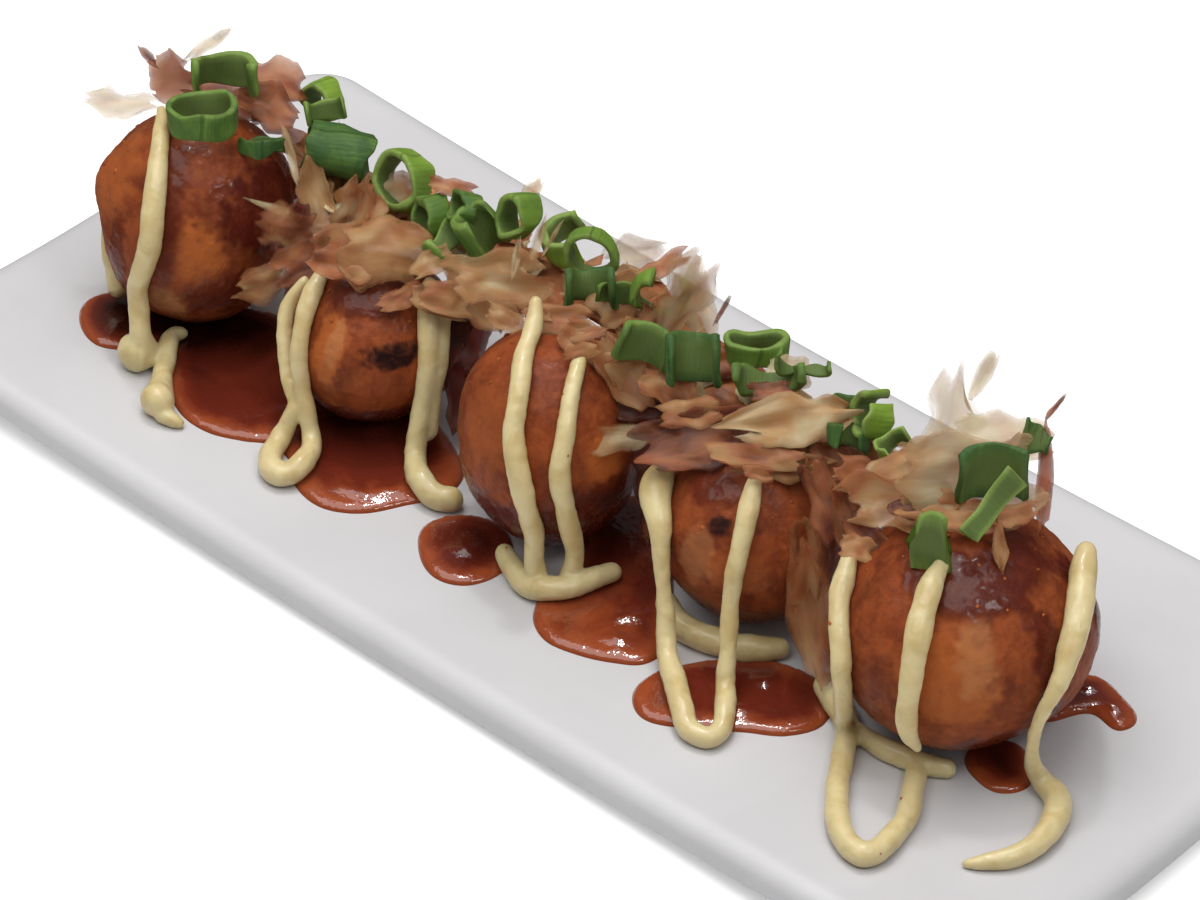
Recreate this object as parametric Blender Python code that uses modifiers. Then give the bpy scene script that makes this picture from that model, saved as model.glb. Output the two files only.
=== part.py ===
"""Five takoyaki balls in a row on a long plate with softly turned-up corners.

They are dressed with pools of brown sauce, ribbons of mayonnaise, bonito flakes and spring onion.
Blender works in metres with +Z up, and the origin is the middle of the plate's underside. The sizes
below are millimetres and degrees, and heights are measured from the plate's flat top.
"""

import math
from collections import namedtuple

import bmesh
import bpy
from mathutils import Matrix, Vector, noise
from mathutils.bvhtree import BVHTree

MM = 0.001
GAP = 0.3  # air between pieces that rest on each other

# The plate.
PLATE_LENGTH = 290.0
PLATE_WIDTH = 126.5
PLATE_CORNER = 13.0  # plan radius
EDGE_HEIGHT = 7.4  # from the wall's lower edge to the flat top
FOOT_HEIGHT = 1.2
FOOT_INSET = 10.0
FOOT_WIDTH = 6.0
FOOT_SLOPE = 0.6  # how far the foot's sides lean
RECESS = 0.9  # from the table to the face inside the foot
WALL_CHAMFER = 0.9
CORNER_RISE = 4.4  # how far the plate turns up at its corners
SHOULDER_WIDTH = 5.5
SHOULDER_DROP = 3.4
TOP = FOOT_HEIGHT + EDGE_HEIGHT

# The balls.
BALL_RINGS = 11
BALL_SEGMENTS = 18
BALL_SINK = 1.0  # how far each ball has settled into its own flat spot
LUMP = 0.022  # unevenness of the crust, as a share of the half size
LUMP_PITCH = 1.4  # lumps to one half size
VIEW_TURN = 42.0  # bearing of the row's diagonal, along which the balls are measured across

# The sauce, the mayonnaise and the thin toppings.
POOL_DEPTH = 1.3
POOL_CHAMFER = 0.4
FOOT_REACH = 1.2  # a pool this many half sizes from a ball's middle is cut round its foot
RIBBON_STEP = 4.5  # spacing of the ribbon's sections
RIBBON_REACH = 0.6  # how early a ribbon climbs before a pool's edge
BED_STEP = 5.5  # spacing of the bed's sections
BED_ROWS = 5
BED_DEPTH = 5.0
BED_LEAST = 1.6  # its thinnest, over the crown of a ball
BED_CLEARANCE = 0.9
BED_PITCH = 0.12  # lumps to a millimetre
FLAKE_THICKNESS = 0.5
RAGGED = 0.9  # how far a flake's edges wander, as a share of its half sizes
CRUMPLE = 3.5  # how far a flake's face wanders
CRUMPLE_PITCH = 1.6
ONION_THICKNESS = 1.3
ONION_FACET = 32.0  # degrees of a slice's curve to one face
SEARCH_STEP = 0.5  # how finely a topping looks for room beside the pieces that are there
SEARCH_REACH = 14.0
UPWARDS = 0.3  # how much nearer a place above counts than one beside
FALL_STEP = 0.25
FALL_REACH = 6.0

Ball = namedtuple("Ball", "x y across deep tall dents")
Dent = namedtuple("Dent", "bearing elevation spread depth")
Sheet = namedtuple("Sheet", "name x y z heading pitch roll length width cup bend twist point falls")
Strip = namedtuple("Strip", "length width cup bend twist")
Ring = namedtuple("Ring", "name x y z heading pitch roll radius height arc squash falls")

# Half sizes, and the places where a ball is flattened (a depth above 0) or stands out (below 0).
BALLS = (
    Ball(-105.7, -11.3, 21.2, 21.2, 22.8, (
        Dent(-138, 50, 20, 0.02), Dent(-138, 25, 18, -0.06),
        Dent(-138, -10, 22, 0.12), Dent(40, -35, 30, 0.05))),
    Ball(-55.6, -10.4, 17.4, 17.4, 17.2, (Dent(-60, 45, 26, 0.04), Dent(-20, -30, 25, 0.03))),
    Ball(-4.2, -14.0, 18.2, 21.5, 22.5, (Dent(-138, 38, 26, -0.05), Dent(-90, -20, 30, 0.04))),
    Ball(40.7, -4.5, 19.1, 19.1, 18.8, (Dent(-110, -30, 26, 0.05), Dent(-40, 40, 26, 0.03))),
    Ball(92.2, -2.7, 25.7, 25.2, 22.6, (Dent(-140, 35, 24, 0.02), Dent(-20, -35, 26, 0.04))),
)

# Outlines of the sauce on the plate, as closed curves through these points.
POOLS = {
    "sauce_1_2": (
        (-119, -34), (-122, -28), (-119, -22), (-111, -17), (-99, -9), (-90, -5), (-79, -5), (-68, -7),
        (-56, -3), (-44, -7), (-34, -11), (-26, -16), (-24, -23), (-28, -31), (-33, -39), (-40, -43),
        (-48, -42), (-55, -37), (-61, -36), (-66, -39), (-73, -42), (-80, -42), (-87, -39), (-93, -34),
        (-99, -31), (-104, -35), (-110, -38)),
    "sauce_3_left": (
        (-17, -39), (-21, -33), (-19, -27), (-13, -23), (-6, -24), (-1, -29), (0, -35), (-3, -41),
        (-9, -43)),
    "sauce_3_4": (
        (14, -39), (10, -32), (10, -24), (12, -15), (18, -8), (26, -11), (33, -19), (39, -27), (39, -34),
        (34, -38), (27, -41), (20, -42)),
    "sauce_4_front": (
        (49, -46), (43, -42), (42, -35), (46, -27), (53, -19), (62, -15), (71, -16), (76, -24), (73, -31),
        (66, -36), (58, -42)),
    "sauce_5_side": ((96, 8), (101, 17), (106, 22), (113, 21), (120, 17), (119, 13), (112, 13), (106, 5)),
    "sauce_5_front": ((101, -8), (107, -3), (113, -6), (116, -11), (113, -16), (107, -16), (102, -13)),
}

# Ribbons of mayonnaise: each node has one or more strands that meet, and each strand is a smooth curve
# through points (x, y, height, width). Where a point lies inside a ball or below the plate or the
# sauce, the strand is laid on that surface.
RIBBONS = {
    "mayo_1_left": (
        ((-121, -21, 19, 2.0), (-121, -22, 14, 3.0), (-118, -24, 8, 3.8), (-115, -26, 3, 4.6)),),
    "mayo_1_front": (
        ((-114, -12, 46, 2.6), (-107, -19, 44, 3.6), (-101, -27, 39, 4.6), (-98, -32, 30, 4.8),
         (-101, -33, 17, 4.2), (-98, -36, 9, 4.4), (-97, -36, 4, 5.0), (-97, -39, 0, 6.6)),
        ((-97, -34, 4, 4.4), (-92, -36, 0, 4.6), (-86, -42, 0, 4.8), (-84, -46, 0, 6.4),
         (-86, -49, 0, 6.0))),
    "mayo_2_left": (
        ((-64, -15, 33, 3.6), (-62, -23, 29, 3.8), (-60, -28, 22, 3.6), (-59, -30, 13, 3.6),
         (-56, -31, 7, 3.4), (-52, -33, 2, 3.8), (-48, -38, 0, 4.2), (-48, -43, 0, 4.4)),
        ((-48, -42, 0, 4.4), (-53, -45, 0, 4.4), (-58, -40, 0, 4.2), (-59, -34, 5, 3.4),
         (-58, -31, 10, 3.2)),
        ((-68, -17, 29, 3.0), (-69, -22, 22, 3.2), (-65, -27, 16, 3.2), (-60.5, -30, 11, 3.2))),
    "mayo_2_right": (
        ((-46, -4, 33, 4.0), (-42, -10, 28, 4.2), (-38, -14, 21, 4.2), (-37, -16, 13, 4.2),
         (-36, -19, 8, 4.2), (-34, -22, 3, 4.4), (-29, -26, 0, 5.0), (-23, -27, 0, 5.2),
         (-19, -24, 0, 5.0)),
        ((-44, -2, 31, 3.6), (-40, -8, 26, 4.0), (-37.5, -12.5, 19, 4.2), (-36.5, -14.5, 12, 4.2),
         (-35, -17.5, 5, 4.2))),
    "mayo_3": (
        ((-9, -13, 46, 3.4), (-6, -19, 44, 3.8), (-1, -26, 41, 4.2), (2, -31, 35, 4.2), (6, -33, 27, 4.4),
         (8, -32, 14, 4.0), (8, -32, 6, 4.0), (11, -33, 0, 4.8)),
        ((2, -12, 44, 3.4), (6, -19, 41, 3.6), (9, -24, 36, 3.8), (11, -28, 29, 4.0), (13, -28, 20, 4.0),
         (14, -27, 8, 3.8), (13, -30, 0, 4.6)),
        ((-3, -30, 0, 3.8), (2, -32, 0, 4.6), (8, -34, 0, 4.8), (15, -32, 0, 4.6)),
        ((14, -31, 0, 4.6), (17, -25, 0, 4.6), (19, -19, 0, 3.8))),
    "mayo_4": (
        ((26, -13, 31, 5.2), (28, -18, 28, 6.6), (33, -23, 25, 4.6), (36, -26, 18, 3.0), (39, -28, 10, 3.4),
         (43, -32, 4, 4.2), (51, -38, 0, 4.6), (59, -44, 0, 4.6), (64, -43, 0, 4.4), (63, -38, 0, 4.2),
         (58, -32, 3, 4.0), (55, -28, 9, 3.4), (52, -24, 17, 3.4), (51, -21, 26, 3.8), (49, -16, 33, 4.0),
         (46, -10, 38, 3.6)),),
    "mayo_4_foot": (
        ((31, -20, 0, 4.6), (39, -23, 0, 5.2), (46, -22, 0, 5.4), (53, -19, 0, 5.2), (58, -13, 0, 4.4)),),
    "mayo_5_loop": (
        ((69, -17, 0, 5.0), (75, -19, 0, 5.2), (81, -23, 0, 4.8), (86, -30, 0, 4.4), (92, -39, 0, 4.4),
         (100, -47, 0, 4.8), (107, -49, 0, 4.8), (108, -44, 0, 4.6), (106, -35, 0, 4.4), (101, -27, 0, 4.2),
         (97, -21, 0, 3.6)),
        ((73, -14, 37, 4.0), (76, -19, 34, 4.2), (80, -25, 30, 4.0), (84, -29, 24, 3.8), (84, -28, 14, 3.6),
         (81, -24, 4, 3.6)),
        ((82, -22, 0, 3.6), (90, -23, 0, 4.4), (98, -21, 0, 4.4), (104, -18, 0, 3.6))),
    "mayo_5_middle": (
        ((95, -17, 42, 5.0), (98, -24, 37, 5.0), (100, -28, 29, 4.4), (101, -30, 20, 4.0),
         (102, -27, 12, 1.6)),),
    "mayo_5_right": (
        ((109, 12, 39, 5.0), (112, 7, 37, 5.2), (116, 0, 33, 5.0), (119, -7, 27, 4.0), (118, -11, 20, 2.6),
         (117, -12, 10, 2.6), (118, -10, 3, 4.4), (124, -12, 0, 5.2), (128, -20, 0, 5.0),
         (128, -28, 0, 4.2), (125, -33, 0, 3.2), (121, -37, 0, 1.6)),),
}

# The bed of matted flakes that lies over the balls and carries the spring onion: points of its middle
# (x, y, height of its upper face, half width).
BED = (
    (-95, 11, 37, 7), (-88, 9, 36, 9), (-80, 7, 34, 9), (-68, 7, 34, 10), (-56, 8, 36, 8), (-44, 9, 36, 8),
    (-32, 10, 37, 9), (-20, 10, 39, 9), (-8, 10, 42, 10), (4, 9, 40, 10), (15, 8, 37, 10), (26, 9, 38, 10),
    (38, 8, 40, 9), (48, 7, 39, 8), (57, 9, 39, 8), (65, 8, 37, 5),
)

# Bonito flakes, in the order in which they land. A heading is the bearing of the long axis, a pitch
# lifts its far end, and a roll turns the flake about it.
FLAKES = (
    Sheet("flake_1_left", -126, -12, 40, 42, -10, 40, 12, 7, 20, 20, 0, 0.5, False),
    Sheet("flake_1_right", -103, 7, 46, 42, -22, 45, 13, 13, -50, -40, 10, 0.4, True),
    Sheet("flake_1_top", -116, -6, 50, 42, 10, 75, 9, 13, 70, 30, 20, 0.4, True),
    Sheet("flake_2_curl", -79, -19, 22, 42, 20, 62, 15, 8, -30, -60, 15, 0.5, False),
    Sheet("flake_2_bridge", -76, -13, 35, 42, -6, 62, 14, 9, -20, -70, 20, 0.4, False),
    Sheet("flake_2_front", -53, -10, 35, 42, -8, 40, 16, 13, -50, -50, 0, 0.25, True),
    Sheet("flake_2_upright", -69, -3, 40, 60, 76, 70, 16, 8, 50, 20, 20, 0.5, True),
    Sheet("flake_3_left", -26, 0, 37, 42, -6, 40, 19, 10, 25, 60, 15, 0.4, True),
    Sheet("flake_3_back", -11, 18, 46, 42, 12, 65, 12, 8, 60, 30, 30, 0.4, True),
    Sheet("flake_3_tall", 7, 9, 46, 62, 60, 80, 18, 13, 35, 20, 10, 0.3, True),
    Sheet("flake_3_right", 12, -3, 34, 42, -30, 60, 14, 11, 40, 30, 15, 0.4, True),
    Sheet("flake_4_low", 47, -5, 37, 42, -4, 50, 16, 7, 20, -20, 10, 0.3, True),
    Sheet("flake_4_leaf", 45, 0, 44, 42, 10, 40, 26, 10, 60, 30, 10, 0.6, True),
    Sheet("flake_4_hanging", 62, -14, 15, 42, -82, 80, 27, 8, 30, 20, 15, 0.3, False),
    Sheet("flake_5_curl", 78, -6, 44, 42, 4, 50, 19, 13, 110, 20, 10, 0.4, True),
    Sheet("flake_5_sheet", 87, 5, 50, 42, 0, 62, 26, 22, 40, 30, 10, 0.2, True),
    Sheet("flake_5_upright", 76, 13, 49, 122, 55, 8, 23, 11, 50, 30, 10, 0.3, True),
)

# Slices of spring onion: tubes cut across, some of them cut open, with their bore along the local Y.
ONIONS = (
    Ring("onion_1_back", -108, -1, 51, 42, 0, 70, 6.3, 6.2, 230, 0.8, True),
    Ring("onion_1_front", -106, -12, 45, 42, 0, 78, 6.6, 5.6, 360, 0.8, True),
    Ring("onion_1_side", -95, 15, 45, 170, 0, 15, 4.0, 4.5, 360, 0.9, True),
    Ring("onion_2_left", -82, 7, 42, 125, 0, 10, 4.6, 13.0, 360, 0.9, True),
    Ring("onion_2_bright", -64, 7, 43, 170, 5, 25, 5.6, 5.5, 360, 1.0, True),
    Ring("onion_2_small", -53, 3, 42, 160, 0, 10, 4.0, 5.0, 360, 1.1, True),
    Ring("onion_2_long", -40, 4, 46, 100, 10, 60, 3.9, 10.5, 240, 1.0, True),
    Ring("onion_2_chunk", -35, 9, 46, 165, 0, 20, 3.5, 4.6, 360, 1.3, True),
    Ring("onion_3_hoop", -41, -1, 41, 110, 0, 30, 4.4, 4.6, 150, 1.0, True),
    Ring("onion_3_bright", -27, 12, 45, 130, 0, 70, 5.2, 6.5, 230, 0.9, True),
    Ring("onion_3_arch", -15, 10, 47, 30, 0, 0, 4.6, 3.0, 360, 1.1, True),
    Ring("onion_3_front", -9, 3, 43, 42, 0, 60, 4.6, 7.5, 220, 0.9, True),
    Ring("onion_4_arch", 4, 8, 45, 42, -10, 10, 4.9, 3.0, 300, 0.95, True),
    Ring("onion_4_left", 9, -2, 44, 42, -20, 70, 4.8, 7.0, 190, 0.8, True),
    Ring("onion_4_middle", 16, -1, 42, 42, 0, 60, 4.6, 9.5, 210, 0.9, True),
    Ring("onion_4_top", 25, 14, 48, 42, 0, 78, 5.8, 5.5, 360, 0.6, True),
    Ring("onion_4_right", 34, 7, 49, 42, 0, 30, 6.4, 5.0, 200, 0.8, True),
    Ring("onion_5_bright", 57, 10, 46, 150, 0, 20, 4.2, 5.5, 320, 1.0, True),
    Ring("onion_5_leaf", 91, 5, 53, 42, 0, 80, 8.0, 10.5, 100, 1.0, True),
    Ring("onion_5_front", 92, -14, 47, 20, 0, 90, 6.5, 12.5, 90, 1.0, True),
)

# Base colour, roughness and metallic value of each material.
FINISHES = {
    "plate_glaze": ((0.80, 0.79, 0.81), 0.25, 0.0),
    "crust": ((0.36, 0.10, 0.025), 0.40, 0.0),
    "sauce": ((0.10, 0.018, 0.008), 0.12, 0.0),
    "mayonnaise": ((0.82, 0.72, 0.40), 0.35, 0.0),
    "flake": ((0.52, 0.33, 0.19), 0.50, 0.0),
    "spring_onion": ((0.08, 0.24, 0.04), 0.40, 0.0),
}


def clear_scene():
    """Remove every object that the scene starts with."""
    for old in list(bpy.data.objects):
        bpy.data.objects.remove(old)


def new_collection(name):
    """Return a new collection under the scene's own."""
    collection = bpy.data.collections.new(name)
    bpy.context.scene.collection.children.link(collection)
    return collection


def new_material(name):
    """Return the named finish as a Principled material."""
    colour, roughness, metallic = FINISHES[name]
    material = bpy.data.materials.new(name)
    material.use_nodes = True
    shader = material.node_tree.nodes["Principled BSDF"]
    shader.inputs["Base Color"].default_value = (*colour, 1)
    shader.inputs["Roughness"].default_value = roughness
    shader.inputs["Metallic"].default_value = metallic
    material.diffuse_color = (*colour, 1)
    return material


def place(x, y, height):
    """Return a point in metres from millimetres, with its height above the plate's flat top."""
    return Vector((x, y, height + TOP)) * MM


def polar(bearing, elevation):
    """Return the unit vector at a bearing and an elevation in degrees."""
    around, up = math.radians(bearing), math.radians(elevation)
    return Vector((math.cos(around) * math.cos(up), math.sin(around) * math.cos(up), math.sin(up)))


def add_object(name, mesh, material, collection, smooth=True):
    """Link a new object for a mesh and return it."""
    piece = bpy.data.objects.new(name, mesh)
    collection.objects.link(piece)
    if material is not None:
        mesh.materials.append(material)
    if smooth:
        mesh.shade_smooth()
        mesh.set_sharp_from_angle(angle=math.radians(50))
    return piece


def mesh_from(bm, name):
    """Return the mesh of a bmesh, with its faces turned outwards."""
    bmesh.ops.recalc_face_normals(bm, faces=bm.faces)
    mesh = bpy.data.meshes.new(name)
    bm.to_mesh(mesh)
    bm.free()
    return mesh


def evaluated(piece):
    """Return a piece as its modifiers leave it."""
    return piece.evaluated_get(bpy.context.evaluated_depsgraph_get())


# --- The plate -------------------------------------------------------------------------------------


def rounded_rectangle(inset):
    """Return the plate's outline at an inset, the same number of points every time."""
    half_x, half_y = PLATE_LENGTH / 2 - inset, PLATE_WIDTH / 2 - inset
    radius = max(PLATE_CORNER - inset, 2.0)
    corner_steps, long_steps, short_steps = 4, 7, 4
    points = []
    for turn, (side_x, side_y) in enumerate(((1, 1), (-1, 1), (-1, -1), (1, -1))):
        centre = Vector((side_x * (half_x - radius), side_y * (half_y - radius)))
        arc = [math.radians(90 * turn + 90 * step / corner_steps) for step in range(corner_steps + 1)]
        points += [centre + radius * Vector((math.cos(angle), math.sin(angle))) for angle in arc]
        straight = 2 * (half_x - radius if turn % 2 == 0 else half_y - radius)
        heading = Vector((-side_y, 0)) if turn % 2 == 0 else Vector((0, side_x))
        steps = long_steps if turn % 2 == 0 else short_steps
        last = points[-1]
        points += [last + heading * straight * step / steps for step in range(1, steps)]
    return points


def rise_at(x, y):
    """Return how far the plate has turned up at a point of its plan."""
    across = (2 * x / PLATE_LENGTH) ** 2
    along = (2 * y / PLATE_WIDTH) ** 2
    return CORNER_RISE * across * along


def plate_sections():
    """Return the plate's sections as (inset, height above the table, turned up with the corners)."""
    foot_end = FOOT_INSET + FOOT_WIDTH
    shoulder = [
        (SHOULDER_WIDTH * (1 - math.cos(angle)), TOP - SHOULDER_DROP * (1 - math.sin(angle)), True)
        for angle in (math.radians(degrees) for degrees in (0, 30, 60, 90))
    ]
    return (
        [(foot_end + FOOT_SLOPE, RECESS, False), (foot_end, 0, False), (FOOT_INSET, 0, False)]
        + [(FOOT_INSET - FOOT_SLOPE, FOOT_HEIGHT, True), (WALL_CHAMFER, FOOT_HEIGHT, True)]
        + [(0, FOOT_HEIGHT + WALL_CHAMFER, True)]
        + shoulder
        + [(inset, TOP, True) for inset in (20, 40)]
    )


def make_plate(collection, material):
    """Bridge the plate's sections from the recess in its foot, round the rim, to its flat top."""
    bm = bmesh.new()
    rings = []
    for inset, height, rises in plate_sections():
        ring = []
        for x, y in rounded_rectangle(inset):
            rise = rise_at(x, y) if rises else 0
            ring.append(bm.verts.new(Vector((x, y, height + rise)) * MM))
        rings.append([bm.edges.new((a, b)) for a, b in zip(ring, ring[1:] + ring[:1])])
    for lower, upper in zip(rings, rings[1:]):
        bmesh.ops.bridge_loops(bm, edges=lower + upper)
    for rim in (rings[0], rings[-1]):
        bmesh.ops.contextual_create(bm, geom=rim)
    return add_object("plate", mesh_from(bm, "plate"), material, collection)


# --- The balls -------------------------------------------------------------------------------------


def swell(ball, direction):
    """Return the ball's uneven reach along a unit direction, as a share of its half sizes."""
    share = 1 + LUMP * noise.noise(direction * LUMP_PITCH + Vector((ball.x, ball.y, 0)) * 0.1)
    for dent in ball.dents:
        angle = direction.angle(polar(dent.bearing, dent.elevation)) / math.radians(dent.spread)
        share -= dent.depth * math.exp(-angle * angle)
    return share


def ball_frame(ball, growth=0.0):
    """Return the matrix, in millimetres, that turns a unit sphere into the ball's own ellipsoid."""
    sizes = Matrix.Diagonal((ball.across + growth, ball.deep + growth, ball.tall + growth, 1))
    centre = Vector((ball.x, ball.y, ball.tall - BALL_SINK))
    turn = Matrix.Rotation(math.radians(VIEW_TURN), 4, "Z")
    return Matrix.Translation(centre) @ turn @ sizes


def outside_ball(point, ball, clearance):
    """Return a point in millimetres, pushed out to lie clear of the ball."""
    frame = ball_frame(ball, clearance)
    local = frame.inverted() @ point
    if local.length < 1e-6:
        return point
    reach = swell(ball, (frame.to_3x3() @ local).normalized())
    return point if local.length >= reach else frame @ (local.normalized() * reach)


def make_ball(number, ball, collection, material):
    """Model one ball as an uneven sphere that rests on a small flat spot."""
    bm = bmesh.new()
    bmesh.ops.create_uvsphere(bm, u_segments=BALL_SEGMENTS, v_segments=BALL_RINGS, radius=1)
    frame = ball_frame(ball)
    for vert in bm.verts:
        reach = swell(ball, (frame.to_3x3() @ vert.co).normalized())
        point = frame @ (vert.co * reach)
        vert.co = place(point.x, point.y, max(point.z, GAP))
    name = f"ball_{number}"
    return add_object(name, mesh_from(bm, name), material, collection)


# --- The sauce -------------------------------------------------------------------------------------


def plain_mesh(curve, name):
    """Return a curve as one closed mesh, its caps welded on, and remove the curve."""
    piece = bpy.data.objects.new(name, curve)
    bpy.context.scene.collection.objects.link(piece)
    mesh = bpy.data.meshes.new_from_object(evaluated(piece))
    bpy.data.objects.remove(piece)
    bm = bmesh.new()
    bm.from_mesh(mesh)
    bmesh.ops.remove_doubles(bm, verts=bm.verts, dist=1e-6)
    bpy.data.meshes.remove(mesh)
    return mesh_from(bm, name)


def pool_curve(outline):
    """Return a pool's outline as a filled curve with chamfered edges."""
    chamfer = POOL_CHAMFER * MM
    curve = bpy.data.curves.new("pool", "CURVE")
    curve.dimensions = "2D"
    curve.fill_mode = "BOTH"
    curve.resolution_u = 2
    curve.bevel_depth = chamfer
    curve.bevel_resolution = 0
    curve.offset = -chamfer
    curve.extrude = POOL_DEPTH / 2 * MM - chamfer
    spline = curve.splines.new("BEZIER")
    spline.bezier_points.add(len(outline) - 1)
    for knot, (x, y) in zip(spline.bezier_points, outline):
        knot.co = (x * MM, y * MM, 0)
        knot.handle_left_type = knot.handle_right_type = "AUTO"
    spline.use_cyclic_u = True
    return curve


def foot_cutter(number, ball, collection):
    """Return a cylinder that keeps the sauce clear of a ball's foot."""
    height = POOL_DEPTH + 2 * GAP
    centre = ball.tall - BALL_SINK
    share = math.sqrt(1 - ((centre - height) / ball.tall) ** 2)
    radius = max(ball.across, ball.deep) * share + GAP
    bm = bmesh.new()
    bmesh.ops.create_cone(
        bm, cap_ends=True, segments=20, radius1=radius * MM, radius2=radius * MM, depth=4 * POOL_DEPTH * MM)
    name = f"foot_{number}"
    cutter = add_object(name, mesh_from(bm, name), None, collection)
    cutter.location = place(ball.x, ball.y, 0)
    hide(cutter)
    return cutter


def hide(piece):
    """Mark a piece as a cutter or a guide."""
    piece.hide_render = True
    piece.display_type = "WIRE"


def add_boolean(piece, other, operation):
    """Cut or join a piece with another."""
    modifier = piece.modifiers.new(f"{operation.lower()}_{other.name}", "BOOLEAN")
    modifier.operation = operation
    modifier.object = other
    modifier.solver = "EXACT"


def make_pool(name, outline, feet, collection, material):
    """Model one pool of sauce, cut round the balls that stand in it."""
    mesh = plain_mesh(pool_curve(outline), name)
    for vert in mesh.vertices:
        vert.co.z += rise_at(vert.co.x / MM, vert.co.y / MM) * MM
    pool = add_object(name, mesh, material, collection)
    pool.location = place(0, 0, GAP + POOL_DEPTH / 2)
    for ball, cutter in feet:
        near = min(math.dist((ball.x, ball.y), point) for point in outline)
        if near < max(ball.across, ball.deep) * FOOT_REACH:
            add_boolean(pool, cutter, "DIFFERENCE")
    return pool


def inside(outline, x, y):
    """Return whether a point lies inside a closed outline."""
    odd = False
    for (ax, ay), (bx, by) in zip(outline, outline[1:] + outline[:1]):
        if (ay > y) != (by > y) and x < ax + (y - ay) * (bx - ax) / (by - ay):
            odd = not odd
    return odd


def floor_at(x, y, reach):
    """Return the height of what lies under a strand whose half width is the reach."""
    turns = [math.radians(60 * number) for number in range(6)]
    ring = [(x, y)] + [(x + reach * math.cos(turn), y + reach * math.sin(turn)) for turn in turns]
    rise = max(rise_at(*point) for point in ring) + GAP
    for outline in POOLS.values():
        if any(inside(outline, *point) for point in ring):
            return rise + POOL_DEPTH + GAP
    return rise


# --- The mayonnaise --------------------------------------------------------------------------------


def smooth_curve(points, step):
    """Return points a step apart on the Catmull-Rom curve through a list of vectors."""
    padded = [2 * points[0] - points[1]] + points + [2 * points[-1] - points[-2]]
    found = []
    for a, b, c, d in zip(padded, padded[1:], padded[2:], padded[3:]):
        parts = max(1, round((c.xyz - b.xyz).length / step))
        for part in range(parts):
            t = part / parts
            found.append(0.5 * (2 * b + (c - a) * t + (2 * a - 5 * b + 4 * c - d) * t**2
                                + (3 * b - a - 3 * c + d) * t**3))
    return found + [points[-1]]


def laid_strand(route):
    """Return a strand's points and half widths, laid on the balls, the plate and the sauce."""
    laid = []
    for sample in smooth_curve([Vector(point) for point in route], RIBBON_STEP):
        half = max(sample.w / 2, 0.7)
        point = sample.xyz
        for ball in BALLS:
            point = outside_ball(point, ball, half + 2 * GAP)
        point.z = max(point.z, floor_at(point.x, point.y, half + RIBBON_REACH) + half)
        laid.append((point, half))
    return laid


def strand_object(name, route, material, collection):
    """Model one strand as a round tube with closed ends."""
    curve = bpy.data.curves.new(name, "CURVE")
    curve.dimensions = "3D"
    curve.bevel_depth = MM
    curve.bevel_resolution = 1
    curve.use_fill_caps = True
    laid = laid_strand(route)
    spline = curve.splines.new("POLY")
    spline.points.add(len(laid) - 1)
    for knot, (point, half) in zip(spline.points, laid):
        knot.co = (*place(*point), 1)
        knot.radius = half
    return add_object(name, plain_mesh(curve, name), material, collection)


def make_ribbon(name, routes, collection, guides, material):
    """Model a ribbon of mayonnaise, its further strands joined to the first."""
    ribbon = strand_object(name, routes[0], material, collection)
    for number, route in enumerate(routes[1:], 2):
        strand = strand_object(f"{name}_strand_{number}", route, None, guides)
        hide(strand)
        add_boolean(ribbon, strand, "UNION")
    return ribbon


# --- The flakes and the spring onion ---------------------------------------------------------------


def curl(along, side, strip):
    """Return a flat strip's point once the strip is cupped across, twisted and bent along its length.

    A bend of 360 closes the strip into a ring whose bore runs along Y.
    """
    lift = 0.0
    if strip.cup:
        radius = strip.width / math.radians(strip.cup)
        side, lift = radius * math.sin(side / radius), radius * (1 - math.cos(side / radius))
    turn = Matrix.Rotation(math.radians(strip.twist) * 2 * along / strip.length, 2)
    side, lift = turn @ Vector((side, lift))
    if strip.bend:
        radius = strip.length / math.radians(strip.bend)
        angle = along / radius
        along, lift = (radius - lift) * math.sin(angle), radius - (radius - lift) * math.cos(angle)
    return Vector((along, side, lift))


def make_bed(collection, material):
    """Model the matted flakes as a slab draped over the balls, uneven on top and ragged at its sides."""
    path = smooth_curve([Vector(point) for point in BED], BED_STEP)
    bm = bmesh.new()
    bmesh.ops.create_grid(bm, x_segments=len(path) - 1, y_segments=BED_ROWS, size=1)
    lower = list(bm.verts)
    grown = bmesh.ops.extrude_face_region(bm, geom=bm.faces[:], use_keep_orig=True)["geom"]
    upper = [part for part in grown if isinstance(part, bmesh.types.BMVert)]
    for vert in lower + upper:
        u, v = vert.co.x, vert.co.y
        middle = path[round((u + 1) / 2 * (len(path) - 1))]
        seed = Vector((middle.x, v * middle.w, 0)) * BED_PITCH
        reach = v * middle.w * (1 + RAGGED * noise.noise(seed + Vector((0, 0, 5))))
        fall = abs(v) ** 3 * BED_DEPTH / 2 - CRUMPLE * noise.noise(seed)
        vert.co = Vector((middle.x, middle.y + reach, middle.z - fall))
    for vert in lower:
        vert.co.z -= BED_DEPTH
    for verts, clearance in ((lower, BED_CLEARANCE), (upper, BED_CLEARANCE + BED_LEAST)):
        for vert in verts:
            for ball in BALLS:
                vert.co = outside_ball(vert.co, ball, clearance)
    for vert in bm.verts:
        vert.co = place(*vert.co)
    return add_object("flake_bed", mesh_from(bm, "flake_bed"), material, collection)


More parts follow.
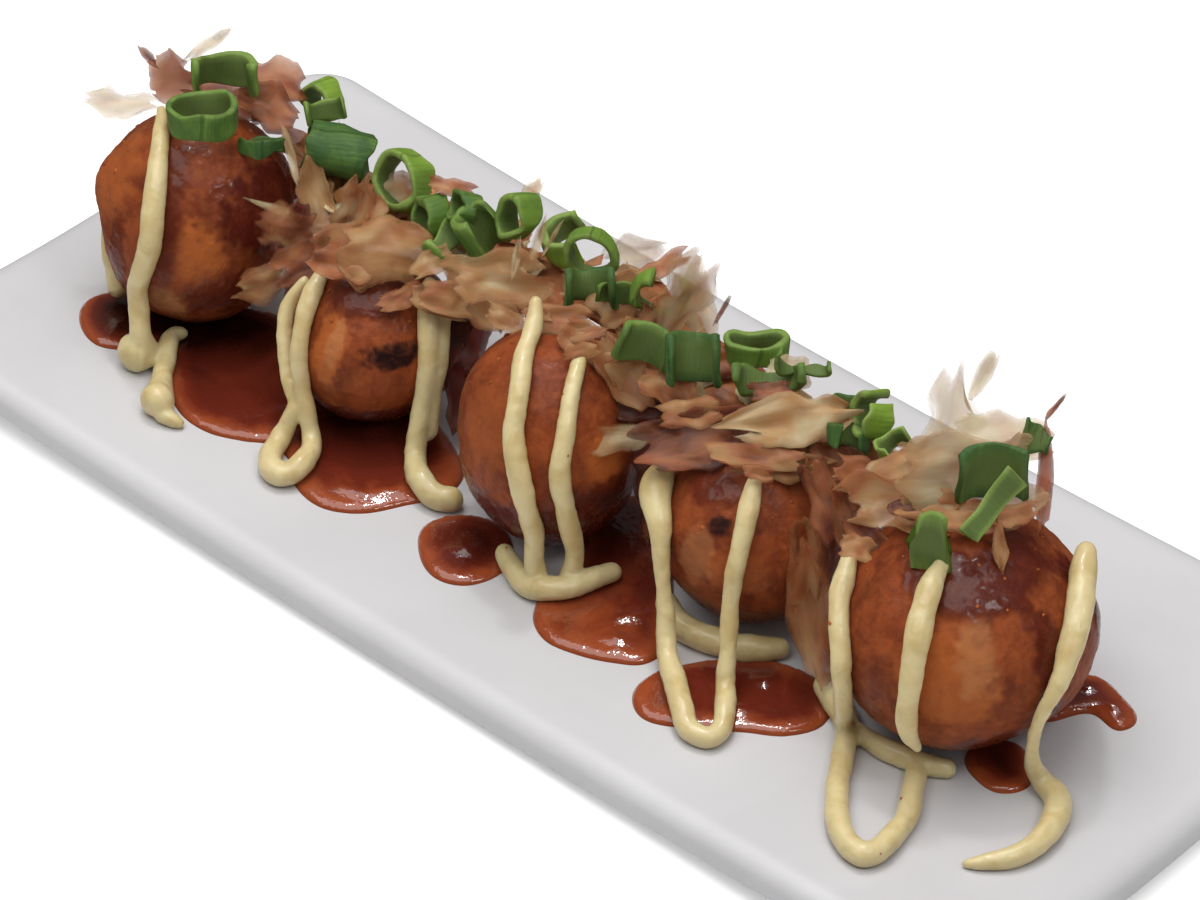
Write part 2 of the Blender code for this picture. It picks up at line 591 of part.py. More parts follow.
def flake_point(row, u, v):
    """Return a point of a flake's middle surface, u along it and v across it from -1 to 1."""
    seed = Vector((row.x, row.y, row.z)) * 0.37
    ends = 1 + RAGGED * noise.noise(seed + Vector((0, v * CRUMPLE_PITCH, math.copysign(3, u))))
    sides = 1 + RAGGED * noise.noise(seed + Vector((u * CRUMPLE_PITCH, math.copysign(3, v), 0)))
    sides *= 1 - row.point * abs(u) ** 2.5
    point = curl(row.length / 2 * u * ends, row.width / 2 * v * sides, row)
    crumple = CRUMPLE * noise.noise(seed + Vector((u, v, 7)) * CRUMPLE_PITCH)
    return point + Vector((0, 0, crumple))


def onion_point(row, u, v):
    """Return a point of a slice's middle surface, u round it and v along its bore from -1 to 1."""
    strip = Strip(math.radians(row.arc) * row.radius, row.height, 0, row.arc, 0)
    point = curl(strip.length / 2 * u, strip.width / 2 * v, strip)
    return Vector((point.x, point.y, point.z * row.squash))


def strip_mesh(row, point_at, columns, rows):
    """Return a thin topping's middle surface as a mesh, centred on its own box."""
    bm = bmesh.new()
    bmesh.ops.create_grid(bm, x_segments=columns, y_segments=rows, size=1)
    for vert in bm.verts:
        vert.co = point_at(row, vert.co.x, vert.co.y)
    bmesh.ops.remove_doubles(bm, verts=bm.verts, dist=1e-4)
    low = Vector([min(vert.co[axis] for vert in bm.verts) for axis in range(3)])
    high = Vector([max(vert.co[axis] for vert in bm.verts) for axis in range(3)])
    for vert in bm.verts:
        vert.co = (vert.co - (low + high) / 2) * MM
    mesh = bpy.data.meshes.new(row.name)
    bm.to_mesh(mesh)
    bm.free()
    return mesh


def add_topping(piece, row, thickness):
    """Turn a strip to its row's place and give it its thickness."""
    turn = (
        Matrix.Rotation(math.radians(row.heading), 4, "Z")
        @ Matrix.Rotation(math.radians(-row.pitch), 4, "Y")
        @ Matrix.Rotation(math.radians(row.roll), 4, "X")
    )
    piece.matrix_world = Matrix.Translation(place(row.x, row.y, row.z)) @ turn
    shell = piece.modifiers.new("thickness", "SOLIDIFY")
    shell.thickness = thickness * MM
    shell.offset = 0


def make_flake(row, collection, material):
    """Model one bonito flake as a thin curled sheet with narrowing ends."""
    piece = add_object(row.name, strip_mesh(row, flake_point, 6, 3), material, collection)
    add_topping(piece, row, FLAKE_THICKNESS)
    return piece


def make_onion(row, collection, material):
    """Model one slice of spring onion as a short tube, or a part of one."""
    columns = max(4, round(row.arc / ONION_FACET))
    piece = add_object(row.name, strip_mesh(row, onion_point, columns, 1), material, collection)
    add_topping(piece, row, ONION_THICKNESS)
    return piece


def shape_tree(piece, shift=Vector()):
    """Return a search tree of a piece's surface, moved by a shift in millimetres."""
    solid = evaluated(piece)
    mesh = solid.to_mesh()
    points = [piece.matrix_world @ vert.co + shift * MM for vert in mesh.vertices]
    tree = BVHTree.FromPolygons(points, [face.vertices[:] for face in mesh.polygons])
    solid.to_mesh_clear()
    return tree


def search_shifts():
    """Return the shifts that a topping tries, nearest first, with a move upwards before one aside."""
    directions = [polar(0, 90)]
    directions += [polar(45 * turn, elevation) for elevation in (45, 0, -45) for turn in range(8)]
    steps = [SEARCH_STEP * number for number in range(1, round(SEARCH_REACH / SEARCH_STEP))]
    shifts = [direction * step for direction in directions for step in steps]

    def cost(shift):
        return round(shift.length * (1 + UPWARDS) - shift.z * UPWARDS, 4)

    return [Vector()] + sorted(shifts, key=cost)


def settle(piece, falls, placed):
    """Move a topping to the nearest free place, and lower one that falls until it touches."""

    def touches(shift):
        tree = shape_tree(piece, shift)
        return any(tree.overlap(other) for other in placed)

    shift = next(shift for shift in search_shifts() if not touches(shift))
    if falls:
        low = shift.z - FALL_REACH
        while shift.z > low and not touches(shift - Vector((0, 0, FALL_STEP))):
            shift = shift - Vector((0, 0, FALL_STEP))
    lifted = shift + Vector((0, 0, GAP))
    if not touches(lifted):
        shift = lifted
    piece.location += shift * MM
    bpy.context.view_layer.update()
    placed.append(shape_tree(piece))


def build():
    """Build every piece, from the plate up."""
    clear_scene()
    parts = new_collection("takoyaki_on_plate")
    cutters = new_collection("cutters")
    materials = {name: new_material(name) for name in FINISHES}

    pieces = [make_plate(parts, materials["plate_glaze"])]
    for number, ball in enumerate(BALLS, 1):
        pieces.append(make_ball(number, ball, parts, materials["crust"]))
    feet = [(ball, foot_cutter(number, ball, cutters)) for number, ball in enumerate(BALLS, 1)]
    for name, outline in POOLS.items():
        pieces.append(make_pool(name, outline, feet, parts, materials["sauce"]))
    for name, routes in RIBBONS.items():
        pieces.append(make_ribbon(name, routes, parts, cutters, materials["mayonnaise"]))
    pieces.append(make_bed(parts, materials["flake"]))

    bpy.context.view_layer.update()
    placed = [shape_tree(piece) for piece in pieces]
    for row in FLAKES:
        settle(make_flake(row, parts, materials["flake"]), row.falls, placed)
    for row in ONIONS:
        settle(make_onion(row, parts, materials["spring_onion"]), row.falls, placed)


build()
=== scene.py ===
"""The finished look of five dressed takoyaki balls on their long plate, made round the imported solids.

Sizes are millimetres and degrees. A place is (x, y, height above the plate's flat top), and a bearing
turns from +X towards +Y.
"""

import logging
import math
from collections.abc import Iterable
from dataclasses import dataclass
from enum import Enum
from functools import cache

import bmesh
import bpy
import numpy as np
from bmesh.types import BMesh, BMVert
from bpy.types import Material, Mesh, Node, NodeSocket, NodeTree, Object
from mathutils import Matrix, Vector, geometry, noise
from mathutils.kdtree import KDTree


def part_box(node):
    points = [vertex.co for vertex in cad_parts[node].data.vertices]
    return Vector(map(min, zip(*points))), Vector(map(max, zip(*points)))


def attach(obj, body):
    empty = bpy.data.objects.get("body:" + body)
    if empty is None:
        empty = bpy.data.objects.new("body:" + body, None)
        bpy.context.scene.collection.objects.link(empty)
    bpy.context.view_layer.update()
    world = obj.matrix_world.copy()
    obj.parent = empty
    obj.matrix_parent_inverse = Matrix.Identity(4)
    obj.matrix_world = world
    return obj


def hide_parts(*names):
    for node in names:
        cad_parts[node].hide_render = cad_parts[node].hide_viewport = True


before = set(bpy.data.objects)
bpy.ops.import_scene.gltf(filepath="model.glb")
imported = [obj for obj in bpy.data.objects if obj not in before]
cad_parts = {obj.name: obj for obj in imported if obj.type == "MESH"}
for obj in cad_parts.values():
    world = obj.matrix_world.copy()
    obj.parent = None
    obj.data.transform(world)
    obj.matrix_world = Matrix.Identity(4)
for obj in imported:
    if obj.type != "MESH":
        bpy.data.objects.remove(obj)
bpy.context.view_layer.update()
LOG = logging.getLogger("takoyaki")

MM = 0.001
Place = tuple[float, float, float]
Colour = tuple[float, float, float]
Row = tuple[float, float, float, float]


# --- Shared tools ---


def wave(seed: Vector, x: float, y: float, z: float) -> float:
    """Return smooth noise from -1 to 1 at a point counted from a seed."""
    return noise.noise(seed + Vector((x, y, z)))


def polar(bearing: float, elevation: float = 0.0) -> Vector:
    """Return the unit vector at a bearing and an elevation in degrees."""
    around, up = math.radians(bearing), math.radians(elevation)
    return Vector((math.cos(around) * math.cos(up), math.sin(around) * math.cos(up), math.sin(up)))


def smooth_step(low: float, high: float, value: np.ndarray) -> np.ndarray:
    """Return 0 below low, 1 above high and a smooth rise between them."""
    share = np.clip((value - low) / (high - low), 0, 1)
    return share * share * (3 - 2 * share)


def spaced(values: dict[str, object]) -> dict[str, object]:
    """Return values by the names of sockets, which have spaces in place of underscores."""
    return {name.replace("_", " "): value for name, value in values.items()}


def add_piece(name: str, mesh: Mesh, material: Material | None = None) -> Object:
    """Link a new object for a mesh.

    Args:
        name: The piece's name.
        mesh: Its shape, in metres in the row frame.
        material: Its finish, or None to keep the mesh's own.

    Returns:
        The new object, at the origin.
    """
    piece = bpy.data.objects.new(name, mesh)
    bpy.context.scene.collection.objects.link(piece)
    if material is not None:
        mesh.materials.clear()
        mesh.materials.append(material)
    mesh.shade_smooth()
    return piece


def mesh_of(name: str, bm: BMesh) -> Mesh:
    """Turn a bmesh into a mesh.

    Args:
        name: The mesh's name.
        bm: The bmesh, which is freed.

    Returns:
        The mesh.
    """
    mesh = bpy.data.meshes.new(name)
    bm.to_mesh(mesh)
    bm.free()
    return mesh


def store(mesh: Mesh, **layers: Iterable[float] | float) -> None:
    """Write numbers to a mesh for its material to read.

    Args:
        mesh: The mesh to write to.
        **layers: The numbers by name, one a vertex or one for them all.
    """
    for name, values in layers.items():
        numbers = np.full(len(mesh.vertices), values, dtype=np.float32)
        mesh.attributes.new(name, "FLOAT", "POINT").data.foreach_set("value", numbers)


def map_grain(bm: BMesh, places: dict[BMVert, Iterable[float]]) -> None:
    """Write the map that the grain follows.

    Args:
        bm: The bmesh to write to.
        places: The flat place of each vertex, in millimetres.
    """
    layer = bm.loops.layers.uv.new("grain")
    for face in bm.faces:
        for loop in face.loops:
            loop[layer].uv = places[loop.vert]


def loft(bm: BMesh, rings: list[list[BMVert]], closed: bool = False) -> None:
    """Join rings of vertices to a skin that faces outwards.

    Args:
        bm: The bmesh of the vertices.
        rings: The rings in order, with as many vertices each.
        closed: Whether the last ring joins the first. If not, both are filled.
    """
    for first, second in zip(rings, rings[1:] + (rings[:1] if closed else [])):
        for index in range(len(first)):
            bm.faces.new((first[index - 1], first[index], second[index], second[index - 1]))
    for end in () if closed else (rings[0], rings[-1]):
        bm.faces.new(end)
    bmesh.ops.recalc_face_normals(bm, faces=bm.faces)


def even_out(piece: Object, voxel: float, factor: float, rounds: int) -> None:
    """Give a piece live modifiers that run its parts together to one even skin.

    Args:
        piece: The object to change.
        voxel: The size of the skin's cells in millimetres.
        factor: How strongly each round smooths it.
        rounds: The rounds of smoothing.
    """
    remesh = piece.modifiers.new("even", "REMESH")
    remesh.mode = "VOXEL"
    remesh.voxel_size = voxel * MM
    soft = piece.modifiers.new("soft", "SMOOTH")
    soft.factor = factor
    soft.iterations = rounds


def thickened(piece: Object, thickness: float) -> Object:
    """Give a flat sheet its thickness.

    Args:
        piece: The sheet.
        thickness: Its thickness in millimetres.

    Returns:
        The same object as a plain piece.
    """
    shell = piece.modifiers.new("thickness", "SOLIDIFY")
    shell.thickness = thickness * MM
    shell.offset = 0
    return made_plain(piece)


def made_plain(piece: Object) -> Object:
    """Apply every modifier of a piece.

    Args:
        piece: An object whose modifiers are live.

    Returns:
        The same object, with the result as its own mesh and no modifier left.
    """
    evaluated = piece.evaluated_get(bpy.context.evaluated_depsgraph_get())
    mesh = bpy.data.meshes.new_from_object(evaluated)
    mesh.name = piece.name
    piece.modifiers.clear()
    old, piece.data = piece.data, mesh
    bpy.data.meshes.remove(old)
    mesh.shade_smooth()
    return piece


def joined(name: str, pieces: list[Object]) -> Object:
    """Join several pieces.

    Args:
        name: The new piece's name.
        pieces: The pieces, of which the first stays.

    Returns:
        The first, with the meshes of all.
    """
    with bpy.context.temp_override(active_object=pieces[0], selected_editable_objects=pieces):
        bpy.ops.object.join()
    pieces[0].name = pieces[0].data.name = name
    return pieces[0]


def finish_piece(piece: Object, nodes: Iterable[str] = ()) -> None:
    """Hand a finished piece to the frame.

    Args:
        piece: The piece, at the origin.
        nodes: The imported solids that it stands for.
    """
    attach(piece, "root")
    if nodes:
        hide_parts(*nodes)
    LOG.info("%s: %d faces", piece.name, len(piece.data.polygons))


class Graph:
    """A node tree that is put together a node at a time."""

    def __init__(self, tree: NodeTree) -> None:
        """Start from a tree."""
        self.tree = tree

    def add(self, kind: str, inputs: dict | None = None, **settings: object) -> Node:
        """Add a node.

        Args:
            kind: The node's type.
            inputs: Values and sockets for its inputs, by name or number. Sockets are linked.
            **settings: The node's own options.

        Returns:
            The new node.
        """
        node = self.tree.nodes.new(kind)
        for name, value in settings.items():
            setattr(node, name, value)
        for name, value in (inputs or {}).items():
            if isinstance(value, NodeSocket):
                self.link(value, node.inputs[name])
            else:
                node.inputs[name].default_value = value
        return node

    def link(self, source: NodeSocket, target: NodeSocket) -> None:
        """Link one socket to another."""
        self.tree.links.new(source, target)

    def math(self, operation: str, *values: object, clamp: bool = False) -> NodeSocket:
        """Return the result of a Math node."""
        inputs = dict(enumerate(values))
        return self.add("ShaderNodeMath", inputs, operation=operation, use_clamp=clamp).outputs[0]

    def line(self, value: object, slope: object, base: object, clamp: bool = False) -> NodeSocket:
        """Return a value times a slope plus a base."""
        return self.math("MULTIPLY_ADD", value, slope, base, clamp=clamp)

    def vector(self, operation: str, *values: object) -> NodeSocket:
        """Return the vector result of a Vector Math node."""
        return self.add("ShaderNodeVectorMath", dict(enumerate(values)), operation=operation).outputs[0]

    def scaled(self, vector: object, factor: object) -> NodeSocket:
        """Return a vector times a number."""
        return self.add("ShaderNodeVectorMath", {0: vector, "Scale": factor}, operation="SCALE").outputs[0]

    def mix(self, factor: object, first: object, second: object) -> NodeSocket:
        """Return the mix of two colours."""
        inputs = {0: factor, 6: self.rgba(first), 7: self.rgba(second)}
        return self.add("ShaderNodeMix", inputs, data_type="RGBA").outputs[2]

    def noise(self, vector: object, scale: object, detail: float = 3, rough: float = 0.5,
              distort: float = 0) -> NodeSocket:
        """Return smooth noise between 0 and 1, with its features scale to the unit."""
        inputs = {"Vector": vector, "Scale": scale, "Detail": detail, "Roughness": rough}
        return self.add("ShaderNodeTexNoise", inputs | {"Distortion": distort}).outputs["Fac"]

    def between(self, value: object, low: float, high: float) -> NodeSocket:
        """Return a value mapped smoothly from low..high to 0..1."""
        inputs = {"Value": value, "From Min": low, "From Max": high}
        return self.add("ShaderNodeMapRange", inputs, interpolation_type="SMOOTHSTEP").outputs[0]

    def ramp(self, factor: object, stops: Iterable[tuple[float, Colour]]) -> NodeSocket:
        """Add a colour ramp.

        Args:
            factor: What the colour follows.
            stops: (position, colour) for each colour, with the two ends first.

        Returns:
            The colour.
        """
        node = self.add("ShaderNodeValToRGB", {"Fac": factor})
        elements = node.color_ramp.elements
        for index, (position, colour) in enumerate(stops):
            element = elements[index] if index < 2 else elements.new(position)
            element.position = position
            element.color = (*colour, 1)
        return node.outputs["Color"]

    def attribute(self, name: str) -> NodeSocket:
        """Return a number stored on the piece's vertices, for a shader."""
        return self.add("ShaderNodeAttribute", attribute_name=name).outputs["Fac"]

    def stored(self, name: str) -> NodeSocket:
        """Return a number stored on the piece's vertices, for a geometry tree."""
        return self.add("GeometryNodeInputNamedAttribute", {"Name": name}, data_type="FLOAT").outputs[0]

    def place(self, group: NodeTree, **values: object) -> Node:
        """Place a shared effect, with its own values."""
        return self.add("ShaderNodeGroup", values, node_tree=group)

    @staticmethod
    def rgba(value: object) -> object:
        """Return a colour with its fourth number, and anything else as it is."""
        return (*value, 1) if isinstance(value, tuple) and len(value) == 3 else value


SOCKET_WORDS = {float: "Float", int: "Int", tuple: "Vector"}


def new_group(name: str, kind: str, inputs: dict[str, object], outputs: dict[str, str]) -> tuple:
    """Make a node group with named sockets.

    Args:
        name: The group's name.
        kind: "Shader" or "Geometry".
        inputs: Each input's default, or the word for its kind where it has none.
        outputs: The word for each output's kind.

    Returns:
        The group's graph, the outputs of its input node and the inputs of its output node.
    """
    tree = bpy.data.node_groups.new(name, f"{kind}NodeTree")
    for label, default in inputs.items():
        word = SOCKET_WORDS.get(type(default), default)
        socket = tree.interface.new_socket(label, in_out="INPUT", socket_type=f"NodeSocket{word}")
        if default != word:
            socket.default_value = default
    for label, word in outputs.items():
        tree.interface.new_socket(label, in_out="OUTPUT", socket_type=f"NodeSocket{word}")
    graph = Graph(tree)
    return graph, graph.add("NodeGroupInput").outputs, graph.add("NodeGroupOutput").inputs


# --- Geometry Nodes ---


class ShapeTree:
    """A Geometry Nodes tree with named inputs, which ends in real faces of one material."""

    def __init__(self, name: str, **inputs: object) -> None:
        """Start the tree, with its own inputs between its geometry and its material."""
        sockets = {"Geometry": "Geometry"} | spaced(inputs) | {"Material": "Material"}
        self.graph, self.take, self.give = new_group(name, "Geometry", sockets, {"Geometry": "Geometry"})

    def close(self, shape: Node) -> None:
        """End the tree.

        Args:
            shape: The node that makes the finished shape.
        """
        real = self.graph.add("GeometryNodeRealizeInstances", {0: shape.outputs[0]}).outputs[0]
        dressed = {"Geometry": real, "Material": self.take["Material"]}
        self.graph.link(self.graph.add("GeometryNodeSetMaterial", dressed).outputs[0], self.give["Geometry"])

    def attach(self, piece: Object, **values: object) -> None:
        """Give a piece the tree as a live modifier.

        Args:
            piece: The object to change.
            **values: The tree's inputs, with underscores for the spaces of their names.
        """
        modifier = piece.modifiers.new(self.graph.tree.name, "NODES")
        modifier.node_group = self.graph.tree
        wanted = spaced(values)
        for item in self.graph.tree.interface.items_tree:
            if item.item_type == "SOCKET" and item.in_out == "INPUT" and item.name in wanted:
                modifier[item.identifier] = wanted[item.name]

    def apply(self, piece: Object, **values: object) -> Object:
        """Give a piece the tree and make it plain."""
        self.attach(piece, **values)
        return made_plain(piece)


class Relief(ShapeTree):
    """The tree that gives a skin its uneven surface: broad lumps, wrinkles and a coat's own depth."""

    def __init__(self) -> None:
        """Build the tree."""
        super().__init__(
            "relief", Lump_Height=0.0004, Lump_Pitch=120.0, Wrinkle_Height=0.00015, Wrinkle_Pitch=420.0,
            Coat_Height=0.0, Swell=0.0, Seed=0.0)
        graph, take = self.graph, self.take
        place = graph.add("GeometryNodeInputPosition").outputs[0]
        place = graph.vector("ADD", place, graph.scaled((1.0, 1.7, 0.6), take["Seed"]))
        lumps = graph.math("SUBTRACT", graph.noise(place, take["Lump Pitch"], 2), 0.5)
        folds = graph.math("SUBTRACT", graph.noise(place, take["Wrinkle Pitch"], 4, 0.6, 0.8), 0.5)
        height = graph.math("MULTIPLY", lumps, take["Lump Height"])
        height = graph.line(folds, take["Wrinkle Height"], height)
        height = graph.line(graph.stored(Coat.SAUCE.value), take["Coat Height"], height)
        height = graph.math("ADD", height, take["Swell"])
        offset = graph.scaled(graph.add("GeometryNodeInputNormal").outputs[0], height)
        self.close(graph.add("GeometryNodeSetPosition", {"Geometry": take["Geometry"], "Offset": offset}))


class Sweep(ShapeTree):
    """The tree that sweeps a round skin along a path, as thick at each point as its attribute "half"."""

    def __init__(self) -> None:
        """Build the tree."""
        super().__init__("sweep", Sides=20)
        graph, take = self.graph, self.take
        path = graph.add("GeometryNodeMeshToCurve", {"Mesh": take["Geometry"]}).outputs[0]
        ring = graph.add("GeometryNodeCurvePrimitiveCircle", {"Resolution": take["Sides"], "Radius": 1.0})
        swept = {"Curve": path, "Profile Curve": ring.outputs[0], "Scale": graph.stored("half")}
        self.close(graph.add("GeometryNodeCurveToMesh", swept | {"Fill Caps": True}))


class Scatter(ShapeTree):
    """The tree that strews small things over a surface, where the surface looks upwards enough."""

    def __init__(self) -> None:
        """Build the tree."""
        super().__init__("scatter", Things="Collection", Spacing=0.003, Density=100000.0, Least_Upward=0.0,
                         Least_Size=0.7, Most_Size=1.3, Tilt=0.4, Lift=0.0, Seed=1)
        graph, take, spin_salt = self.graph, self.take, 3.0
        normal = graph.add("GeometryNodeInputNormal").outputs[0]
        upward = graph.add("ShaderNodeSeparateXYZ", {0: normal}).outputs["Z"]
        wanted = graph.add("FunctionNodeCompare", {0: upward, 1: take["Least Upward"]},
                           data_type="FLOAT", operation="GREATER_THAN").outputs[0]
        spread = graph.add("GeometryNodeDistributePointsOnFaces", {
            "Mesh": take["Geometry"], "Selection": wanted, "Distance Min": take["Spacing"],
            "Density Max": take["Density"], "Seed": take["Seed"]}, distribute_method="POISSON").outputs
        upright = graph.add("FunctionNodeAlignRotationToVector", {"Vector": spread["Normal"]}, axis="Z")
        salted = graph.math("ADD", take["Seed"], spin_salt)
        spin = graph.add("FunctionNodeRandomValue", {
            0: (-1.0, -1.0, -math.pi), 1: (1.0, 1.0, math.pi), "Seed": salted}, data_type="FLOAT_VECTOR")
        tilt = graph.add("ShaderNodeCombineXYZ", {0: take["Tilt"], 1: take["Tilt"], 2: 1.0}).outputs[0]
        tilted = graph.vector("MULTIPLY", spin.outputs[0], tilt)
        lean = graph.add("FunctionNodeEulerToRotation", {0: tilted}).outputs[0]
        turn = graph.add("FunctionNodeRotateRotation", {0: upright.outputs[0], 1: lean},
                         rotation_space="LOCAL")
        size = graph.add("FunctionNodeRandomValue", {
            "Min": take["Least Size"], "Max": take["Most Size"], "Seed": take["Seed"]}, data_type="FLOAT")
        things = graph.add("GeometryNodeCollectionInfo", {0: take["Things"], 1: True, 2: True})
        strewn = graph.add("GeometryNodeInstanceOnPoints", {
            "Points": spread["Points"], "Instance": things.outputs[0], "Pick Instance": True,
            "Rotation": turn.outputs[0], "Scale": size.outputs[1]})
        lift = graph.add("ShaderNodeCombineXYZ", {2: take["Lift"]}).outputs[0]
        self.close(graph.add("GeometryNodeTranslateInstances", {
            "Instances": strewn.outputs[0], "Translation": lift, "Local Space": True}))

    def strew(self, name: str, surface: Mesh, things: list[Object],
              **values: object) -> Object:
        """Strew things over a surface.

        Args:
            name: The new piece's name.
            surface: The mesh to strew over, which is left out of the result.
            things: The small objects to choose from. They are removed afterwards.
            **values: The tree's inputs, with underscores for the spaces of their names.

        Returns:
            The strewn things as one plain piece.
        """
        collection = bpy.data.collections.new(name)
        for thing in things:
            collection.objects.link(thing)
        piece = self.apply(add_piece(name, surface.copy()), Things=collection, **values)
        for thing in things:
            bpy.data.objects.remove(thing)
        bpy.data.collections.remove(collection)
        return piece


# --- Finishes ---


class Coat(Enum):
    """What a painted patch on a ball is."""

    SAUCE = "sauce"
    AMBER = "amber"
    PALE = "pale"
    CHAR = "char"


@cache
def grain_group() -> NodeTree:
    """Build the shared effect of a fine uneven grain.

    Returns:
        The group, which puts out a mask and a bump for the shader's Normal.
    """
    graph, take, give = new_group(
        "grain", "Shader", {"Pitch": 800.0, "Depth": 0.0001, "Stretch": (1.0, 1.0, 1.0)},
        {"Mask": "Float", "Normal": "Vector"})
    place = graph.add("ShaderNodeTexCoord").outputs["Object"]
    mask = graph.noise(graph.vector("MULTIPLY", place, take["Stretch"]), take["Pitch"], 4, 0.6)
    bump = graph.add("ShaderNodeBump", {"Height": mask, "Distance": take["Depth"]})
    graph.link(mask, give["Mask"])
    graph.link(bump.outputs[0], give["Normal"])
    return graph.tree


@cache
def blotch_group() -> NodeTree:
    """Build the shared effect of soft blotches.

    Returns:
        The group, which puts out a mask that is 0 or 1 with soft edges.
    """
    graph, take, give = new_group("blotches", "Shader", {"Pitch": 120.0, "Level": 0.5}, {"Mask": "Float"})
    place = graph.add("ShaderNodeTexCoord").outputs["Object"]
    mask = graph.math("SUBTRACT", graph.noise(place, take["Pitch"], 5, 0.55, 0.6), take["Level"])
    graph.link(graph.line(mask, 5.0, 0.5, clamp=True), give["Mask"])
    return graph.tree


class Finish:
    """What every finish shares: a material with one Principled shader, and the shared effects."""

    @staticmethod
    def begin(name: str, **values: object) -> tuple[Material, Graph]:
        """Start a material.

        Args:
            name: The material's name.
            **values: Plain values for the shader's sockets, with underscores for spaces.

        Returns:
            The material and its graph.
        """
        material = bpy.data.materials.new(name)
        material.use_nodes = True
        for label, value in spaced(values).items():
            material.node_tree.nodes["Principled BSDF"].inputs[label].default_value = value
        return material, Graph(material.node_tree)

    @staticmethod
    def dressed(material: Material, **sources: NodeSocket) -> Material:
        """Link what changes over the surface to the material's shader.

        Args:
            material: The material.
            **sources: What feeds the shader's sockets, with underscores for spaces.

        Returns:
            The same material.
        """
        for label, source in spaced(sources).items():
            material.node_tree.links.new(source, material.node_tree.nodes["Principled BSDF"].inputs[label])
        return material

    @staticmethod
    def blotches(graph: Graph, pitch: float, level: float) -> NodeSocket:
        """Return the mask of the shared blotches."""
        return graph.place(blotch_group(), Pitch=pitch, Level=level).outputs["Mask"]

    @staticmethod
    def mapped(graph: Graph, along: float, across: float, *rest: float) -> NodeSocket:
        """Return noise that follows a topping's own map, with its pitch along and across."""
        place = graph.add("ShaderNodeUVMap", uv_map="grain").outputs[0]
        return graph.noise(graph.vector("MULTIPLY", place, (along, across, 1.0)), 1.0, 3, *rest)

    @staticmethod
    def bump(graph: Graph, height: NodeSocket, depth: float) -> NodeSocket:
        """Return the normal of a surface raised by a mask."""
        return graph.add("ShaderNodeBump", {"Height": height, "Distance": depth}).outputs[0]


@dataclass(frozen=True)
class GlazedWhite(Finish):
    """The plate's pale glaze, a little cool, with the faint waviness of fired glass."""

    light: Colour = (0.600, 0.590, 0.600)
    dark: Colour = (0.570, 0.560, 0.570)
    roughness: float = 0.34

    def material(self) -> Material:
        """Build the finish.

        Returns:
            Its material.
        """
        material, graph = self.begin("plate_glaze", Coat_Weight=0.08, Coat_Roughness=0.2)
        grain = graph.place(grain_group(), Pitch=240.0, Depth=0.00003).outputs
        return self.dressed(
            material, Base_Color=graph.mix(self.blotches(graph, 18.0, 0.5), self.light, self.dark),
            Roughness=graph.line(grain["Mask"], 0.12, self.roughness - 0.06), Normal=grain["Normal"])


@dataclass(frozen=True)
class FriedCrust(Finish):
    """Fried batter under a brushed coat of sauce, mottled and streaked from orange-brown to dark red."""

    brown: Colour = (0.270, 0.058, 0.016)
    dark: Colour = (0.100, 0.018, 0.008)
    amber: Colour = (0.40, 0.105, 0.024)
    pale: Colour = (0.44, 0.19, 0.075)
    burnt: Colour = (0.022, 0.007, 0.006)
    coat: Colour = (0.080, 0.011, 0.006)

    def material(self) -> Material:
        """Build the finish.

        Returns:
            Its material.
        """
        material, graph = self.begin("crust", Coat_Roughness=0.14, Specular_IOR_Level=0.12)
        broad, small = self.blotches(graph, 85.0, 0.52), self.blotches(graph, 360.0, 0.54)
        drips = graph.place(grain_group(), Pitch=330.0, Depth=0.0001, Stretch=(1.0, 1.0, 0.2))
        grain = graph.place(grain_group(), Pitch=700.0, Depth=0.00022).outputs
        streak = graph.between(drips.outputs["Mask"], 0.46, 0.66)
        colour = graph.mix(graph.math("MULTIPLY", broad, 0.65), self.brown, self.dark)
        colour = graph.mix(graph.math("MULTIPLY", small, 0.28), colour, self.amber)
        colour = graph.mix(graph.math("MULTIPLY", streak, 0.38), colour, self.dark)
        layers = ((Coat.AMBER, small, self.amber), (Coat.PALE, small, self.pale),
                  (Coat.SAUCE, streak, self.coat), (Coat.CHAR, small, self.burnt))
        for coat, breakup, shade in layers:
            worn = graph.math("MULTIPLY", graph.attribute(coat.value), graph.line(breakup, -0.28, 1.0))
            colour = graph.mix(worn, colour, shade)
        sauce = graph.attribute(Coat.SAUCE.value)
        rough = graph.line(sauce, -0.22, graph.line(grain["Mask"], 0.22, 0.36), clamp=True)
        return self.dressed(material, Base_Color=colour, Roughness=rough, Normal=grain["Normal"],
                            Coat_Weight=graph.line(sauce, 0.30, 0.05, clamp=True))


@dataclass(frozen=True)
class BrownSauce(Finish):
    """Glossy brown sauce, nearly black where it is deep and in the painted shade at the balls' feet, and
    orange-brown where it thins out.
    """

    thin: Colour = (0.30, 0.062, 0.020)
    middle: Colour = (0.135, 0.020, 0.010)
    deep: Colour = (0.016, 0.0025, 0.002)

    def material(self) -> Material:
        """Build the finish.

        Returns:
            Its material.
        """
        material, graph = self.begin(
            "sauce", Roughness=0.06, Coat_Weight=0.25, Coat_Roughness=0.03, Specular_IOR_Level=0.5)
        # The stored depth also carries the painted shade at the balls' feet.
        depth = graph.line(self.blotches(graph, 70.0, 0.5), -0.20, graph.attribute("depth"), clamp=True)
        waves = graph.place(grain_group(), Pitch=130.0, Depth=0.0006).outputs["Normal"]
        colour = graph.ramp(depth, ((0.0, self.thin), (1.0, self.deep), (0.30, self.middle)))
        return self.dressed(material, Base_Color=colour, Normal=waves)


